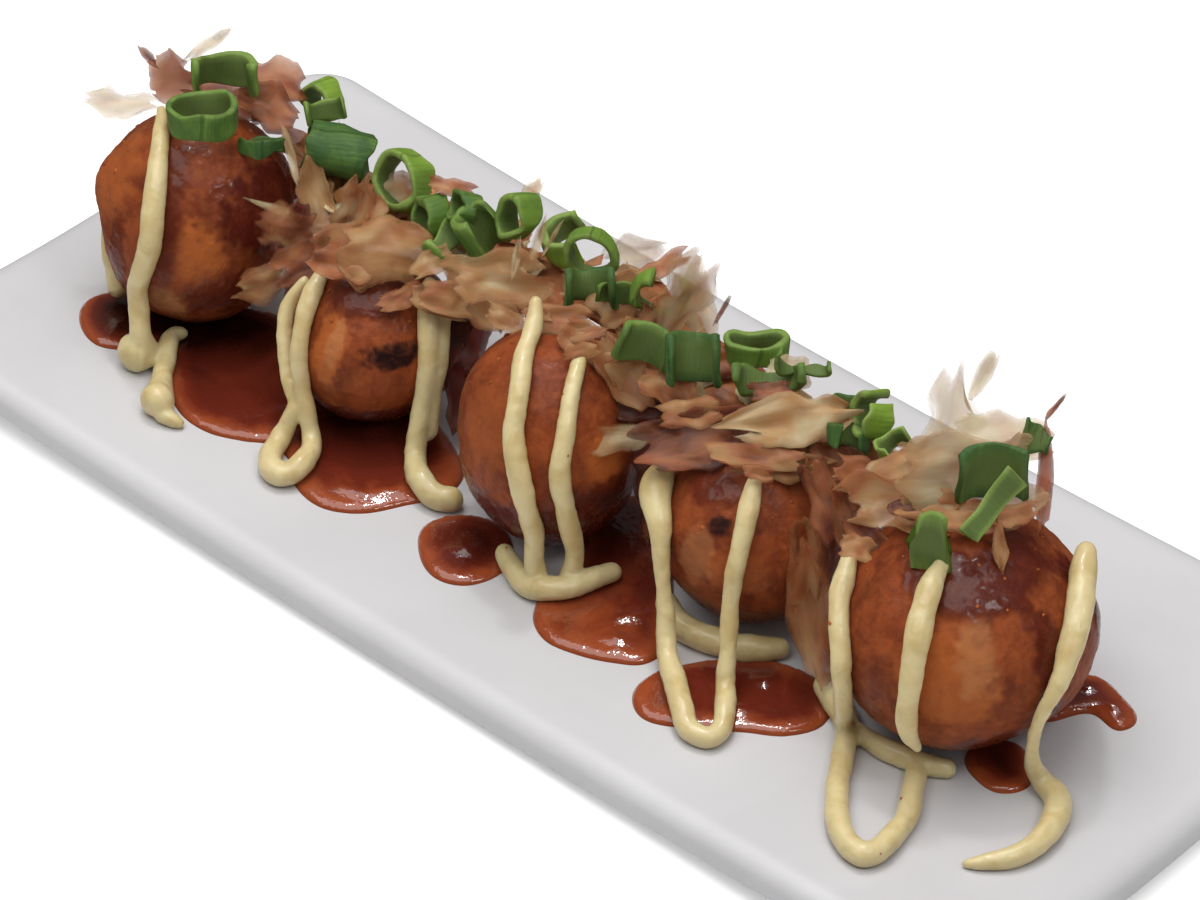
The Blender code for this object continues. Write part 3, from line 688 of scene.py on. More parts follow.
@dataclass(frozen=True)
class Mayonnaise(Finish):
    """Satin pale yellow mayonnaise, a little deeper yellow in soft blotches."""

    light: Colour = (0.68, 0.57, 0.30)
    deep: Colour = (0.58, 0.45, 0.20)

    def material(self) -> Material:
        """Build the finish.

        Returns:
            Its material.
        """
        material, graph = self.begin("mayonnaise", Subsurface_Weight=0.25, Subsurface_Scale=0.004,
                                     Coat_Weight=0.3, Coat_Roughness=0.15)
        grain = graph.place(grain_group(), Pitch=500.0, Depth=0.00012).outputs
        return self.dressed(
            material, Base_Color=graph.mix(self.blotches(graph, 140.0, 0.55), self.light, self.deep),
            Roughness=graph.line(grain["Mask"], 0.2, 0.26), Normal=grain["Normal"])


@dataclass(frozen=True)
class FishFlake(Finish):
    """Shaved dried fish: cream to red-brown, with faint fibres along the flake, and sheer at its edges."""

    pale: Colour = (0.62, 0.50, 0.31)
    tan: Colour = (0.50, 0.275, 0.115)
    rust: Colour = (0.36, 0.125, 0.048)
    dark: Colour = (0.085, 0.024, 0.014)

    def material(self) -> Material:
        """Build the finish.

        Returns:
            Its material.
        """
        material, graph = self.begin(
            "flake", Specular_IOR_Level=0.25, Subsurface_Weight=0.25, Subsurface_Scale=0.002)
        fibre, cloud = self.mapped(graph, 0.10, 0.6, 0.5, 0.4), self.mapped(graph, 0.16, 0.22, 0.5, 0.6)
        shade = graph.line(fibre, 0.22, graph.math("SUBTRACT", graph.attribute("tone"), 0.41))
        shade = graph.line(cloud, 0.60, shade, clamp=True)
        stops = ((0.06, self.pale), (1.0, self.dark), (0.38, self.tan), (0.70, self.rust))
        sheer = graph.math("MULTIPLY", graph.attribute("sheer"), graph.line(fibre, 0.6, 0.55))
        return self.dressed(
            material, Base_Color=graph.ramp(shade, stops), Normal=self.bump(graph, fibre, 0.00012),
            Roughness=graph.line(fibre, 0.2, 0.34), Alpha=graph.math("SUBTRACT", 1.0, sheer, clamp=True))


@dataclass(frozen=True)
class SpringOnion(Finish):
    """Spring onion: a green skin, pale inside, with lighter cut rims."""

    bright: Colour = (0.195, 0.315, 0.034)
    blue: Colour = (0.046, 0.108, 0.028)
    inside: Colour = (0.105, 0.155, 0.040)
    cut: Colour = (0.24, 0.34, 0.085)

    def material(self) -> Material:
        """Build the finish.

        Returns:
            Its material.
        """
        material, graph = self.begin(
            "spring_onion", Subsurface_Weight=0.08, Subsurface_Scale=0.002, Specular_IOR_Level=0.2)
        ribs = self.mapped(graph, 1.5, 0.12)
        tone = graph.line(self.blotches(graph, 200.0, 0.5), 0.22, graph.attribute("tone"))
        tone = graph.line(ribs, 0.4, graph.math("SUBTRACT", tone, 0.28), clamp=True)
        skin = graph.mix(tone, self.bright, self.blue)
        colour = graph.mix(graph.attribute("inner"), skin, self.inside)
        colour = graph.mix(graph.attribute("rim"), colour, graph.mix(tone, self.cut, skin))
        return self.dressed(material, Base_Color=colour, Normal=self.bump(graph, ribs, 0.0002),
                            Roughness=graph.line(ribs, 0.2, 0.40))


# --- The plate ---


@dataclass
class Plate:
    """The long plate: a foot ring, a low wall, a softly rounded shoulder and turned-up corners."""

    corner: float = 13.0
    least_corner: float = 2.0
    foot_inset: float = 10.0
    foot_width: float = 6.0
    foot_height: float = 1.2
    foot_slope: float = 0.6
    recess: float = 0.9
    recess_edge: float = 8.0
    chamfer: float = 0.9
    bend_reach: float = 0.35
    corner_rise: float = 4.4
    wall_end: float = 0.8
    shoulder_width: float = 5.5
    shoulder_drop: float = 3.4
    top: float = 8.6

    corner_steps: int = 14
    side_steps: tuple[int, int] = (40, 20)
    shoulder_steps: int = 12
    top_insets: tuple[int, ...] = (7, 10, 15, 20, 26, 32, 38, 44, 50, 56, 60, 62)

    def __post_init__(self) -> None:
        """Take the plate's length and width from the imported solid."""
        low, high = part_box("plate")
        self.length, self.width = (high[0] - low[0]) / MM, (high[1] - low[1]) / MM

    def rise(self, x: float, y: float) -> float:
        """Return how far the plate has turned up at a point of its plan."""
        return self.corner_rise * (2 * x / self.length) ** 2 * (2 * y / self.width) ** 2

    def outline(self, inset: float) -> list[Vector]:
        """Draw the plate's rounded outline.

        Args:
            inset: How far inside the plate's edge it lies.

        Returns:
            The outline's points, as many at every inset.
        """
        half_x, half_y = self.length / 2 - inset, self.width / 2 - inset
        radius = max(self.corner - inset, self.least_corner)
        points: list[Vector] = []
        for turn, (side_x, side_y) in enumerate(((1, 1), (-1, 1), (-1, -1), (1, -1))):
            centre = Vector((side_x * (half_x - radius), side_y * (half_y - radius)))
            for step in range(self.corner_steps + 1):
                angle = math.radians(90 * (turn + step / self.corner_steps))
                points.append(centre + radius * Vector((math.cos(angle), math.sin(angle))))
            steps = self.side_steps[turn % 2]
            run = 2 * (half_y - radius if turn % 2 else half_x - radius)
            heading = Vector((0, side_x)) if turn % 2 else Vector((-side_y, 0))
            last = points[-1]
            points += [last + heading * run * step / steps for step in range(1, steps)]
        return points

    def section(self) -> list[tuple[float, float, bool]]:
        """Draw the plate's section.

        Returns:
            Points as (inset, height, turned up with the corners), softened at the bends.
        """
        foot_end = self.foot_inset + self.foot_width
        insets = (self.top_insets[-1], foot_end + self.recess_edge, foot_end + self.foot_slope)
        under = [(float(inset), self.recess) for inset in insets]
        foot = [(foot_end, 0.0), (self.foot_inset, 0.0)]
        wall = [(self.foot_inset - self.foot_slope, self.foot_height), (self.chamfer, self.foot_height),
                (0.0, self.foot_height + self.chamfer), (0.0, self.top - self.shoulder_drop - self.wall_end)]
        points = self.softened(under + foot + wall)
        for step in range(self.shoulder_steps + 1):
            angle = math.radians(90 * step / self.shoulder_steps)
            inset = self.shoulder_width * (1 - math.cos(angle))
            points.append((inset, self.top - self.shoulder_drop * (1 - math.sin(angle))))
        points += [(inset, self.top) for inset in self.top_insets]
        first_turned = next(i for i, point in enumerate(points) if point[0] < self.foot_inset - 0.1)
        return [(inset, height, i >= first_turned) for i, (inset, height) in enumerate(points)]

    def softened(self, points: list[tuple[float, float]]) -> list[tuple[float, float]]:
        """Round the bends of a path.

        Args:
            points: The path's points.

        Returns:
            The path with each bend cut back and rounded.
        """
        soft = [points[0]]
        for before, here, after in zip(points, points[1:], points[2:]):
            corner = Vector(here)
            into = (Vector(before) - corner).normalized() * self.bend_reach
            out = (Vector(after) - corner).normalized() * self.bend_reach
            soft += [tuple(corner + into * (1 - share) ** 2 + out * share ** 2) for share in (0, 0.5, 1)]
        return soft + [points[-1]]

    def build(self, material: Material) -> None:
        """Loft the plate's sections and close its middle above and below.

        Args:
            material: The glaze.
        """
        bm = bmesh.new()
        rings = []
        for inset, height, turned in self.section():
            lifts = [(x, y, height + (self.rise(x, y) if turned else 0)) for x, y in self.outline(inset)]
            rings.append([bm.verts.new(Vector(place) * MM) for place in lifts])
        loft(bm, rings)
        bmesh.ops.triangulate(bm, faces=[face for face in bm.faces if len(face.verts) > 4])
        piece = add_piece("plate_glazed", mesh_of("plate_glazed", bm), material)
        finish_piece(piece, ["plate"])


# --- The balls ---


@dataclass(frozen=True)
class Dent:
    """A place where a ball is flattened (a depth above 0) or stands out (below 0)."""

    bearing: float
    elevation: float
    spread: float
    depth: float


@dataclass(frozen=True)
class Patch:
    """A painted patch: where it is on the ball and how far it reaches round it and up and down it."""

    kind: Coat
    bearing: float
    elevation: float
    wide: float
    tall: float
    strength: float = 1.0


@dataclass(frozen=True)
class Ball:
    """One ball: the place of its middle, its half sizes, its dents and its patches."""

    number: int
    x: float
    y: float
    across: float
    deep: float
    tall: float
    dents: tuple[Dent, ...]
    patches: tuple[Patch, ...]

    view_turn: float = 42.0
    sink: float = 1.0
    foot_gap: float = 0.15
    lump: float = 0.022
    lump_pitch: float = 1.4
    wander: float = 0.35
    wander_pitch: float = 5
    patch_edge: tuple[float, float] = (0.65, 1.15)
    subdivisions: int = 7

    def form(self, growth: float = 0.0) -> Matrix:
        """Find the matrix that turns a unit sphere into the ball's ellipsoid.

        Args:
            growth: How much larger than the ball it is, in millimetres.

        Returns:
            The matrix, in millimetres.
        """
        sizes = Matrix.Diagonal((self.across + growth, self.deep + growth, self.tall + growth, 1))
        centre = Vector((self.x, self.y, self.tall - self.sink))
        turn = Matrix.Rotation(math.radians(self.view_turn), 4, "Z")
        return Matrix.Translation(centre) @ turn @ sizes

    def swell(self, direction: Vector) -> float:
        """Find how far the uneven ball reaches.

        Args:
            direction: A unit vector from the ball's middle.

        Returns:
            The reach as a share of the ball's half sizes.
        """
        seed = Vector((self.x, self.y, 0)) * 0.1
        share = 1 + self.lump * noise.noise(direction * self.lump_pitch + seed)
        for dent in self.dents:
            angle = direction.angle(polar(dent.bearing, dent.elevation)) / math.radians(dent.spread)
            share -= dent.depth * math.exp(-angle * angle)
        return share

    def pushed_out(self, point: Vector, clearance: float) -> Vector:
        """Move a point away from the ball.

        Args:
            point: The point, above the plate.
            clearance: How far outside the ball it may lie at the nearest.

        Returns:
            The point, or the place outside the ball that it was moved to.
        """
        form = self.form(clearance)
        local = form.inverted() @ point
        if local.length < 1e-6:
            return point
        reach = self.swell((form.to_3x3() @ local).normalized())
        return point if local.length >= reach else form @ (local.normalized() * reach)

    def painted(self, kind: Coat, directions: np.ndarray, wander: np.ndarray) -> np.ndarray:
        """Return the strength of one kind of patch at each unit direction.

        Args:
            kind: The kind of patch.
            directions: Unit vectors, one a row.
            wander: Noise that makes the patches' outlines wander, one number a row.

        Returns:
            Numbers from 0 to 1, one a row.
        """
        bearing = np.degrees(np.arctan2(directions[:, 1], directions[:, 0]))
        elevation = np.degrees(np.arcsin(np.clip(directions[:, 2], -1, 1)))
        total = np.zeros(len(directions))
        for patch in (patch for patch in self.patches if patch.kind is kind):
            turn = (bearing - patch.bearing + 180) % 360 - 180
            side = turn * np.cos(np.radians(elevation)) / patch.wide
            reach = np.hypot(side, (elevation - patch.elevation) / patch.tall) + self.wander * wander
            total = np.maximum(total, patch.strength * (1 - smooth_step(*self.patch_edge, reach)))
        return total

    def build(self, material: Material, relief: Relief) -> None:
        """Make the ball as a fine uneven skin with its patches painted on, and give it relief.

        Args:
            material: The fried crust.
            relief: The tree for its surface.
        """
        bm = bmesh.new()
        bmesh.ops.create_icosphere(bm, subdivisions=self.subdivisions, radius=1)
        form = self.form()
        directions, wander = [], []
        for vert in bm.verts:
            direction = (form.to_3x3() @ vert.co).normalized()
            point = form @ (vert.co * self.swell(direction))
            vert.co = Vector((point.x, point.y, max(point.z, self.foot_gap) + Plate.top)) * MM
            directions.append(direction)
            wander.append(noise.fractal(direction * self.wander_pitch + Vector((self.x, 0, 0)), 0.6, 2.0, 3))
        piece = add_piece(f"ball_{self.number}_fried", mesh_of(f"ball_{self.number}_fried", bm), material)
        directions, wander = np.array(directions), np.array(wander)
        store(piece.data, **{kind.value: self.painted(kind, directions, wander) for kind in Coat})
        relief.apply(piece, Lump_Height=0.0009, Lump_Pitch=150.0, Wrinkle_Height=0.00055,
                     Wrinkle_Pitch=420.0, Coat_Height=0.0003, Seed=self.number * 0.37, Material=material)
        finish_piece(piece, [f"ball_{self.number}"])


SAUCE, AMBER, PALE, CHAR = Coat

# The SAUCE patches low on the side towards the camera (bearings -48 to -22, elevations -12 to -34) are sauce
# and also painted shade on each ball's lower part and foot.
BALLS = (
    Ball(1, -105.7, -11.3, 21.2, 21.2, 22.8, (
        Dent(-138, 50, 20, 0.02), Dent(-138, 25, 18, -0.06),
        Dent(-138, -10, 22, 0.12), Dent(40, -35, 30, 0.05)), (
        Patch(SAUCE, 10, 30, 38, 26), Patch(SAUCE, -66, 30, 11, 50, 0.7),
        Patch(SAUCE, -30, -12, 26, 16, 0.8), Patch(AMBER, -42, 12, 16, 22),
        Patch(AMBER, -125, 35, 24, 30, 0.55), Patch(PALE, -66, -20, 13, 13, 0.7),
        Patch(SAUCE, -97, 0, 8, 30, 0.8), Patch(SAUCE, 120, 20, 40, 30, 0.8),
        Patch(AMBER, 160, 0, 30, 30, 0.7))),
    Ball(2, -55.6, -10.4, 17.4, 17.4, 17.2, (Dent(-60, 45, 26, 0.04), Dent(-20, -30, 25, 0.03)), (
        Patch(AMBER, -84, 22, 13, 30), Patch(PALE, -79, 30, 6, 20, 0.5),
        Patch(CHAR, -35, 24, 22, 9), Patch(SAUCE, -48, -34, 90, 14, 0.8),
        Patch(SAUCE, -48, 62, 60, 14, 0.7), Patch(SAUCE, 130, 10, 40, 30, 0.8))),
    Ball(3, -4.2, -14.0, 18.2, 21.5, 22.5, (Dent(-138, 38, 26, -0.05), Dent(-90, -20, 30, 0.04)), (
        Patch(AMBER, -95, 35, 22, 26, 0.4), Patch(SAUCE, -48, -28, 120, 24),
        Patch(SAUCE, -22, -12, 34, 22, 0.9), Patch(CHAR, -12, -8, 12, 9, 0.5),
        Patch(AMBER, -12, 20, 14, 16), Patch(PALE, -22, -16, 10, 8, 0.6),
        Patch(SAUCE, 150, 20, 40, 30, 0.7))),
    Ball(4, 40.7, -4.5, 19.1, 19.1, 18.8, (Dent(-110, -30, 26, 0.05), Dent(-40, 40, 26, 0.03)), (
        Patch(CHAR, -75, 38, 8, 7), Patch(SAUCE, -48, -34, 120, 16, 0.8),
        Patch(AMBER, -60, 10, 22, 14, 0.6), Patch(SAUCE, -100, 56, 22, 12, 0.7),
        Patch(PALE, -86, 12, 12, 20, 0.35),
        Patch(SAUCE, 100, 20, 40, 30, 0.7))),
    Ball(5, 92.2, -2.7, 25.7, 25.2, 22.6, (Dent(-140, 35, 24, 0.02), Dent(-20, -35, 26, 0.04)), (
        Patch(SAUCE, -20, 62, 60, 18, 0.9), Patch(PALE, -45, 26, 11, 18, 0.5),
        Patch(AMBER, -60, 14, 24, 26, 0.9), Patch(SAUCE, -8, 14, 9, 40, 0.9),
        Patch(SAUCE, 38, 20, 10, 34), Patch(SAUCE, -36, -30, 30, 14, 0.8),
        Patch(SAUCE, 150, 20, 50, 30, 0.7))),
)


# --- The sauce ---


@dataclass(frozen=True)
class Pool:
    """One pool of sauce: its outline's points, how deep its colour is at each end, and its ripples.

    A ripple is (x, y, half length, bearing).
    """

    node: str
    points: tuple[tuple[float, float], ...]
    tone: float = 0.12
    far_tone: float = 0.12
    ripples: tuple[Row, ...] = ()

    depth: float = 1.3
    edge: float = 3.2
    fullness: float = 0.85
    unevenness: float = 0.12
    uneven_pitch: float = 0.22
    climb: float = 1.1
    climb_reach: float = 0.52
    climb_fall: float = 9
    ripple: float = 0.62
    ripple_width: float = 1.7
    cell: float = 0.75
    row_share: float = 0.87
    border_step: float = 0.6
    cell_gap: float = 0.6
    underside: float = 0.02
    edge_height: float = 0.06
    tone_reach: float = 5.5
    # How much painted shade darkens the sauce at a ball's foot, and how far that shade reaches.
    painted_shade_tone: float = 0.65
    foot_share: float = 0.85
    painted_shade_reach: float = 9.0

    def outline(self) -> list[Vector]:
        """Draw the pool's outline.

        Returns:
            A smooth closed curve with a point every half millimetre or so.
        """
        knots = [Vector(point) for point in self.points]
        curve: list[Vector] = []
        for index, knot in enumerate(knots):
            following = (index + 1) % len(knots)
            after = knots[following]
            reach = (after - knot).length / 3
            handles = (knot, knot + self.handle(knots, index) * reach,
                       after - self.handle(knots, following) * reach, after)
            steps = max(2, round((after - knot).length / self.border_step))
            curve += [Vector(p) for p in geometry.interpolate_bezier(*handles, steps + 1)[:-1]]
        return [Vector((point[0], point[1])) for point in curve]

    def holds(self, point: Vector) -> bool:
        """Find whether the pool lies under a point.

        Args:
            point: A point of the plan.

        Returns:
            Whether it is inside the outline.
        """
        knots = [Vector(knot) for knot in self.points]
        crossings = 0
        for before, after in zip(knots[-1:] + knots, knots):
            if (before.y > point.y) != (after.y > point.y):
                share = (point.y - before.y) / (after.y - before.y)
                crossings += point.x < before.x + (after.x - before.x) * share
        return crossings % 2 == 1

    @staticmethod
    def handle(knots: list[Vector], index: int) -> Vector:
        """Return the direction in which the outline passes through a knot."""
        before, here, after = knots[index - 1], knots[index], knots[(index + 1) % len(knots)]
        return ((after - here).normalized() + (here - before).normalized()).normalized()

    def build(self, material: Material, plate: Plate) -> None:
        """Make the pool as a closed skin that thins out to its edge and climbs a little at the balls.

        Args:
            material: The brown sauce.
            plate: The plate that it lies on.
        """
        outline = self.outline()
        edge_tree = KDTree(len(outline))
        for index, point in enumerate(outline):
            edge_tree.insert((*point, 0), index)
        edge_tree.balance()
        low = Vector((min(p.x for p in outline), min(p.y for p in outline)))
        high = Vector((max(p.x for p in outline), max(p.y for p in outline)))
        border = [(index, (index + 1) % len(outline)) for index in range(len(outline))]
        points = outline + [point for point in self.cells(low, high)
                            if edge_tree.find((*point, 0))[2] > self.cell * self.cell_gap]
        verts, _, triangles = geometry.delaunay_2d_cdt(points, border, [], 1, 1e-5)[:3]
        bm = bmesh.new()
        upper, lower, depth_and_shade = [], [], []
        for point in verts:
            away = edge_tree.find((*point, 0))[2]
            lift = self.lift(point, away)
            floor = plate.top + plate.rise(point.x, point.y)
            upper.append(bm.verts.new(Vector((point.x, point.y, floor + self.edge_height + lift)) * MM))
            lower.append(bm.verts.new(Vector((point.x, point.y, floor + self.underside)) * MM))
            # The colour deepens away from the edge, and darkens by painted shade at each ball's foot.
            share = (point.x - low.x) / (high.x - low.x)
            tone = self.tone + (self.far_tone - self.tone) * share + self.painted_shade_tone * self.shade(point)
            depth_and_shade += [min(away / self.tone_reach, 1.0) * tone, 0.0]
        for a, b, c in triangles:
            bm.faces.new((upper[a], upper[b], upper[c]))
            bm.faces.new((lower[c], lower[b], lower[a]))
        bmesh.ops.bridge_loops(bm, edges=[edge for edge in bm.edges if len(edge.link_faces) == 1])
        bmesh.ops.recalc_face_normals(bm, faces=bm.faces)
        piece = add_piece(f"{self.node}_glossy", mesh_of(f"{self.node}_glossy", bm), material)
        store(piece.data, depth=depth_and_shade)
        finish_piece(piece, [self.node])

    def cells(self, low: Vector, high: Vector) -> Iterable[Vector]:
        """Yield the points of an even triangular net.

        Args:
            low: The corner of the net with the least x and y.
            high: The opposite corner.

        Yields:
            Each point of the plan.
        """
        for row in range(int((high.y - low.y) / (self.cell * self.row_share)) + 1):
            for column in range(int((high.x - low.x) / self.cell) + 1):
                x = low.x + (column + row % 2 / 2) * self.cell
                yield Vector((x, low.y + row * self.cell * self.row_share))

    def shade(self, point: Vector) -> float:
        """Return the painted shade on the sauce: 1 at the foot of a ball, falling to 0 away from them all.
        """
        gaps = [(point - Vector((ball.x, ball.y))).length - ball.across * self.foot_share for ball in BALLS]
        return math.exp(-max(min(gaps), 0) / self.painted_shade_reach)

    def lift(self, point: Vector, away: float) -> float:
        """Return the sauce's depth.

        Args:
            point: The place on the plan.
            away: How far it is from the pool's edge.

        Returns:
            The depth, with the unevenness, the climb at the balls and the ripples.
        """
        share = min(away / self.edge, 1)
        depth = self.depth * math.sqrt(share * (2 - share)) * self.fullness
        pitch = self.uneven_pitch
        depth += self.unevenness * share * wave(Vector(), point.x * pitch, point.y * pitch, 3)
        for ball in BALLS:
            reach = (Vector((point.x - ball.x, point.y - ball.y)).length) / ball.across
            depth += self.climb * share * math.exp(-max(reach - self.climb_reach, 0) * self.climb_fall)
        for x, y, length, bearing in self.ripples:
            along = polar(bearing)
            gap = Vector((point.x - x, point.y - y, 0))
            lengthwise = gap.dot(along)
            crosswise = (gap - along * lengthwise).length
            fall = (lengthwise / length) ** 2, (crosswise / self.ripple_width) ** 2
            depth += self.ripple * share * math.exp(-fall[0] - fall[1])
        return depth


# The tone at each pool's two ends sets how dark the sauce is there. The dark left end of sauce_1_2 is deep
# sauce and also painted shade beside ball 1.
POOLS = (
    Pool("sauce_1_2", (
        (-119, -34), (-122, -28), (-119, -22), (-111, -17), (-99, -9), (-90, -5), (-79, -5), (-68, -7),
        (-56, -3), (-44, -7), (-34, -11), (-26, -16), (-24, -23), (-28, -31), (-33, -39), (-40, -43),
        (-48, -42), (-55, -37), (-61, -36), (-66, -39), (-73, -42), (-80, -42), (-87, -39), (-93, -34),
        (-99, -31), (-104, -35), (-110, -38)), 0.58, 0.08, (
            (-38.7, -36, 4.0, 28), (-33, -31.5, 4.2, 58), (-91, -19, 2.8, 42), (-48, -20, 2.2, 42),
            (-66, -24, 1.4, 42))),
    Pool("sauce_3_left", (
        (-17, -39), (-21, -33), (-19, -27), (-13, -23), (-6, -24), (-1, -29), (0, -35), (-3, -41),
        (-9, -43)), 0.24, 0.24, ((-8.4, -33, 3.4, 52),)),
    # sauce_3_4 reaches back between balls 3 and 4. There its dark sauce also stands in for the shade in that
    # gap, as painted shade.
    Pool("sauce_3_4", (
        (14, -39), (10, -32), (9, -25), (8, -18), (2, -12), (-2, -5), (4, 2), (13, 2), (20, -4),
        (26, -11), (33, -19), (39, -27), (39, -34), (34, -38), (27, -41), (20, -42)), 0.12, 0.12,
        ((31, -33, 4.2, 30), (28, -27, 3.4, 55))),
    Pool("sauce_4_front", (
        (49, -46), (43, -42), (42, -35), (46, -27), (53, -19), (62, -15), (71, -16), (76, -24), (73, -31),
        (66, -36), (58, -42)), 0.30, 0.30, ((62, -32.5, 2.2, 42), (60, -23, 2.0, 42))),
    Pool("sauce_5_side", (
        (96, 8), (101, 17), (106, 22), (113, 21), (120, 17), (119, 13), (112, 13), (106, 5)), 0.12, 0.12,
        ((108, 18, 2.0, 42), (114.5, 17, 2.0, 20))),
    Pool("sauce_5_front", (
        (101, -8), (107, -3), (113, -6), (116, -11), (113, -16), (107, -16), (102, -13))),
)


# --- The mayonnaise ---


@dataclass(frozen=True)
class Ribbon:
    """One ribbon of mayonnaise: strands that meet, each a smooth curve through (x, y, height, width)."""

    node: str
    strands: tuple[tuple[Row, ...], ...]

    step: float = 0.9
    nestle: float = 0.9
    least_half: float = 0.6
    settling: int = 5
    taper: float = 6.0
    drawn_out: float = 0.72
    tip: float = 0.2
    high_start: float = 15
    sides: int = 20
    voxel: float = 0.42
    smoothing: tuple[float, int] = (0.6, 10)

    def curve(self, route: tuple[Row, ...]) -> list[Vector]:
        """Draw a smooth curve through a strand's points.

        Args:
            route: The strand's points.

        Returns:
            Points a step apart, each with the strand's width there as its w.
        """
        points = [Vector(point) for point in route]
        padded = [2 * points[0] - points[1]] + points + [2 * points[-1] - points[-2]]
        found: list[Vector] = []
        for a, b, c, d in zip(padded, padded[1:], padded[2:], padded[3:]):
            parts = max(1, round((c.xyz - b.xyz).length / self.step))
            for part in range(parts):
                t = part / parts
                found.append(0.5 * (2 * b + (c - a) * t + (2 * a - 5 * b + 4 * c - d) * t**2
                                    + (3 * b - a - 3 * c + d) * t**3))
        return found + [points[-1]]

    def laid(self, route: tuple[Row, ...], plate: Plate) -> list[Vector]:
        """Lay a strand on what is under it.

        Args:
            route: The strand's points.
            plate: The plate that carries it.

        Returns:
            Points along the strand in millimetres, each with the strand's half width there as its w.
        """
        laid = []
        for sample in self.curve(route):
            half = max(sample.w / 2, self.least_half)
            point = sample.xyz
            for ball in BALLS:
                point = ball.pushed_out(point, half * self.nestle)
            under = Pool.depth if any(pool.holds(point.xy) for pool in POOLS) else 0.0
            point.z = max(point.z, plate.rise(point.x, point.y) + under + half * self.nestle)
            laid.append(Vector((*point, half)))
        for _ in range(self.settling):
            laid[1:-1] = [(a + 2 * b + c) / 4 for a, b, c in zip(laid, laid[1:], laid[2:])]
        return self.tapered(laid)

    def tapered(self, laid: list[Vector]) -> list[Vector]:
        """Round a strand's two ends, and draw out an end that starts high on a ball.

        Args:
            laid: The strand's points, each with its half width as its w.

        Returns:
            The same points, thinner at the ends.
        """
        for route in (laid, laid[::-1]):
            away, high = 0.0, route[0].z > self.high_start
            whole = [point.w for point in route]
            for index, point in enumerate(route):
                away += (point.xyz - route[index - 1].xyz).length if index else 0.0
                if away > self.taper * 2:
                    break
                if high:
                    point.w *= self.drawn_out + (1 - self.drawn_out) * min(away / self.taper, 1.0)
                round_off = min((away + self.tip) / whole[index], 1.0)
                point.w *= math.sqrt(round_off * (2 - round_off))
        return laid

    def build(self, material: Material, sweep: Sweep, relief: Relief, plate: Plate) -> None:
        """Sweep the strands, run them together and make the ribbon's thickness a little uneven.

        Args:
            material: The mayonnaise.
            sweep: The tree that sweeps them.
            relief: The tree for their surface.
            plate: The plate that carries them.
        """
        bm = bmesh.new()
        halves: list[float] = []
        for route in self.strands:
            laid = self.laid(route, plate)
            verts = [bm.verts.new((point.xyz + Vector((0, 0, plate.top))) * MM) for point in laid]
            halves += [point.w * MM for point in laid]
            for pair in zip(verts, verts[1:]):
                bm.edges.new(pair)
        piece = add_piece(f"{self.node}_soft", mesh_of(f"{self.node}_soft", bm))
        store(piece.data, half=halves)
        sweep.attach(piece, Sides=self.sides, Material=material)
        even_out(piece, self.voxel, *self.smoothing)
        relief.apply(piece, Lump_Height=0.0011, Lump_Pitch=150.0, Wrinkle_Height=0.00022,
                     Wrinkle_Pitch=500.0, Swell=0.0001, Material=material)
        finish_piece(piece, [self.node])


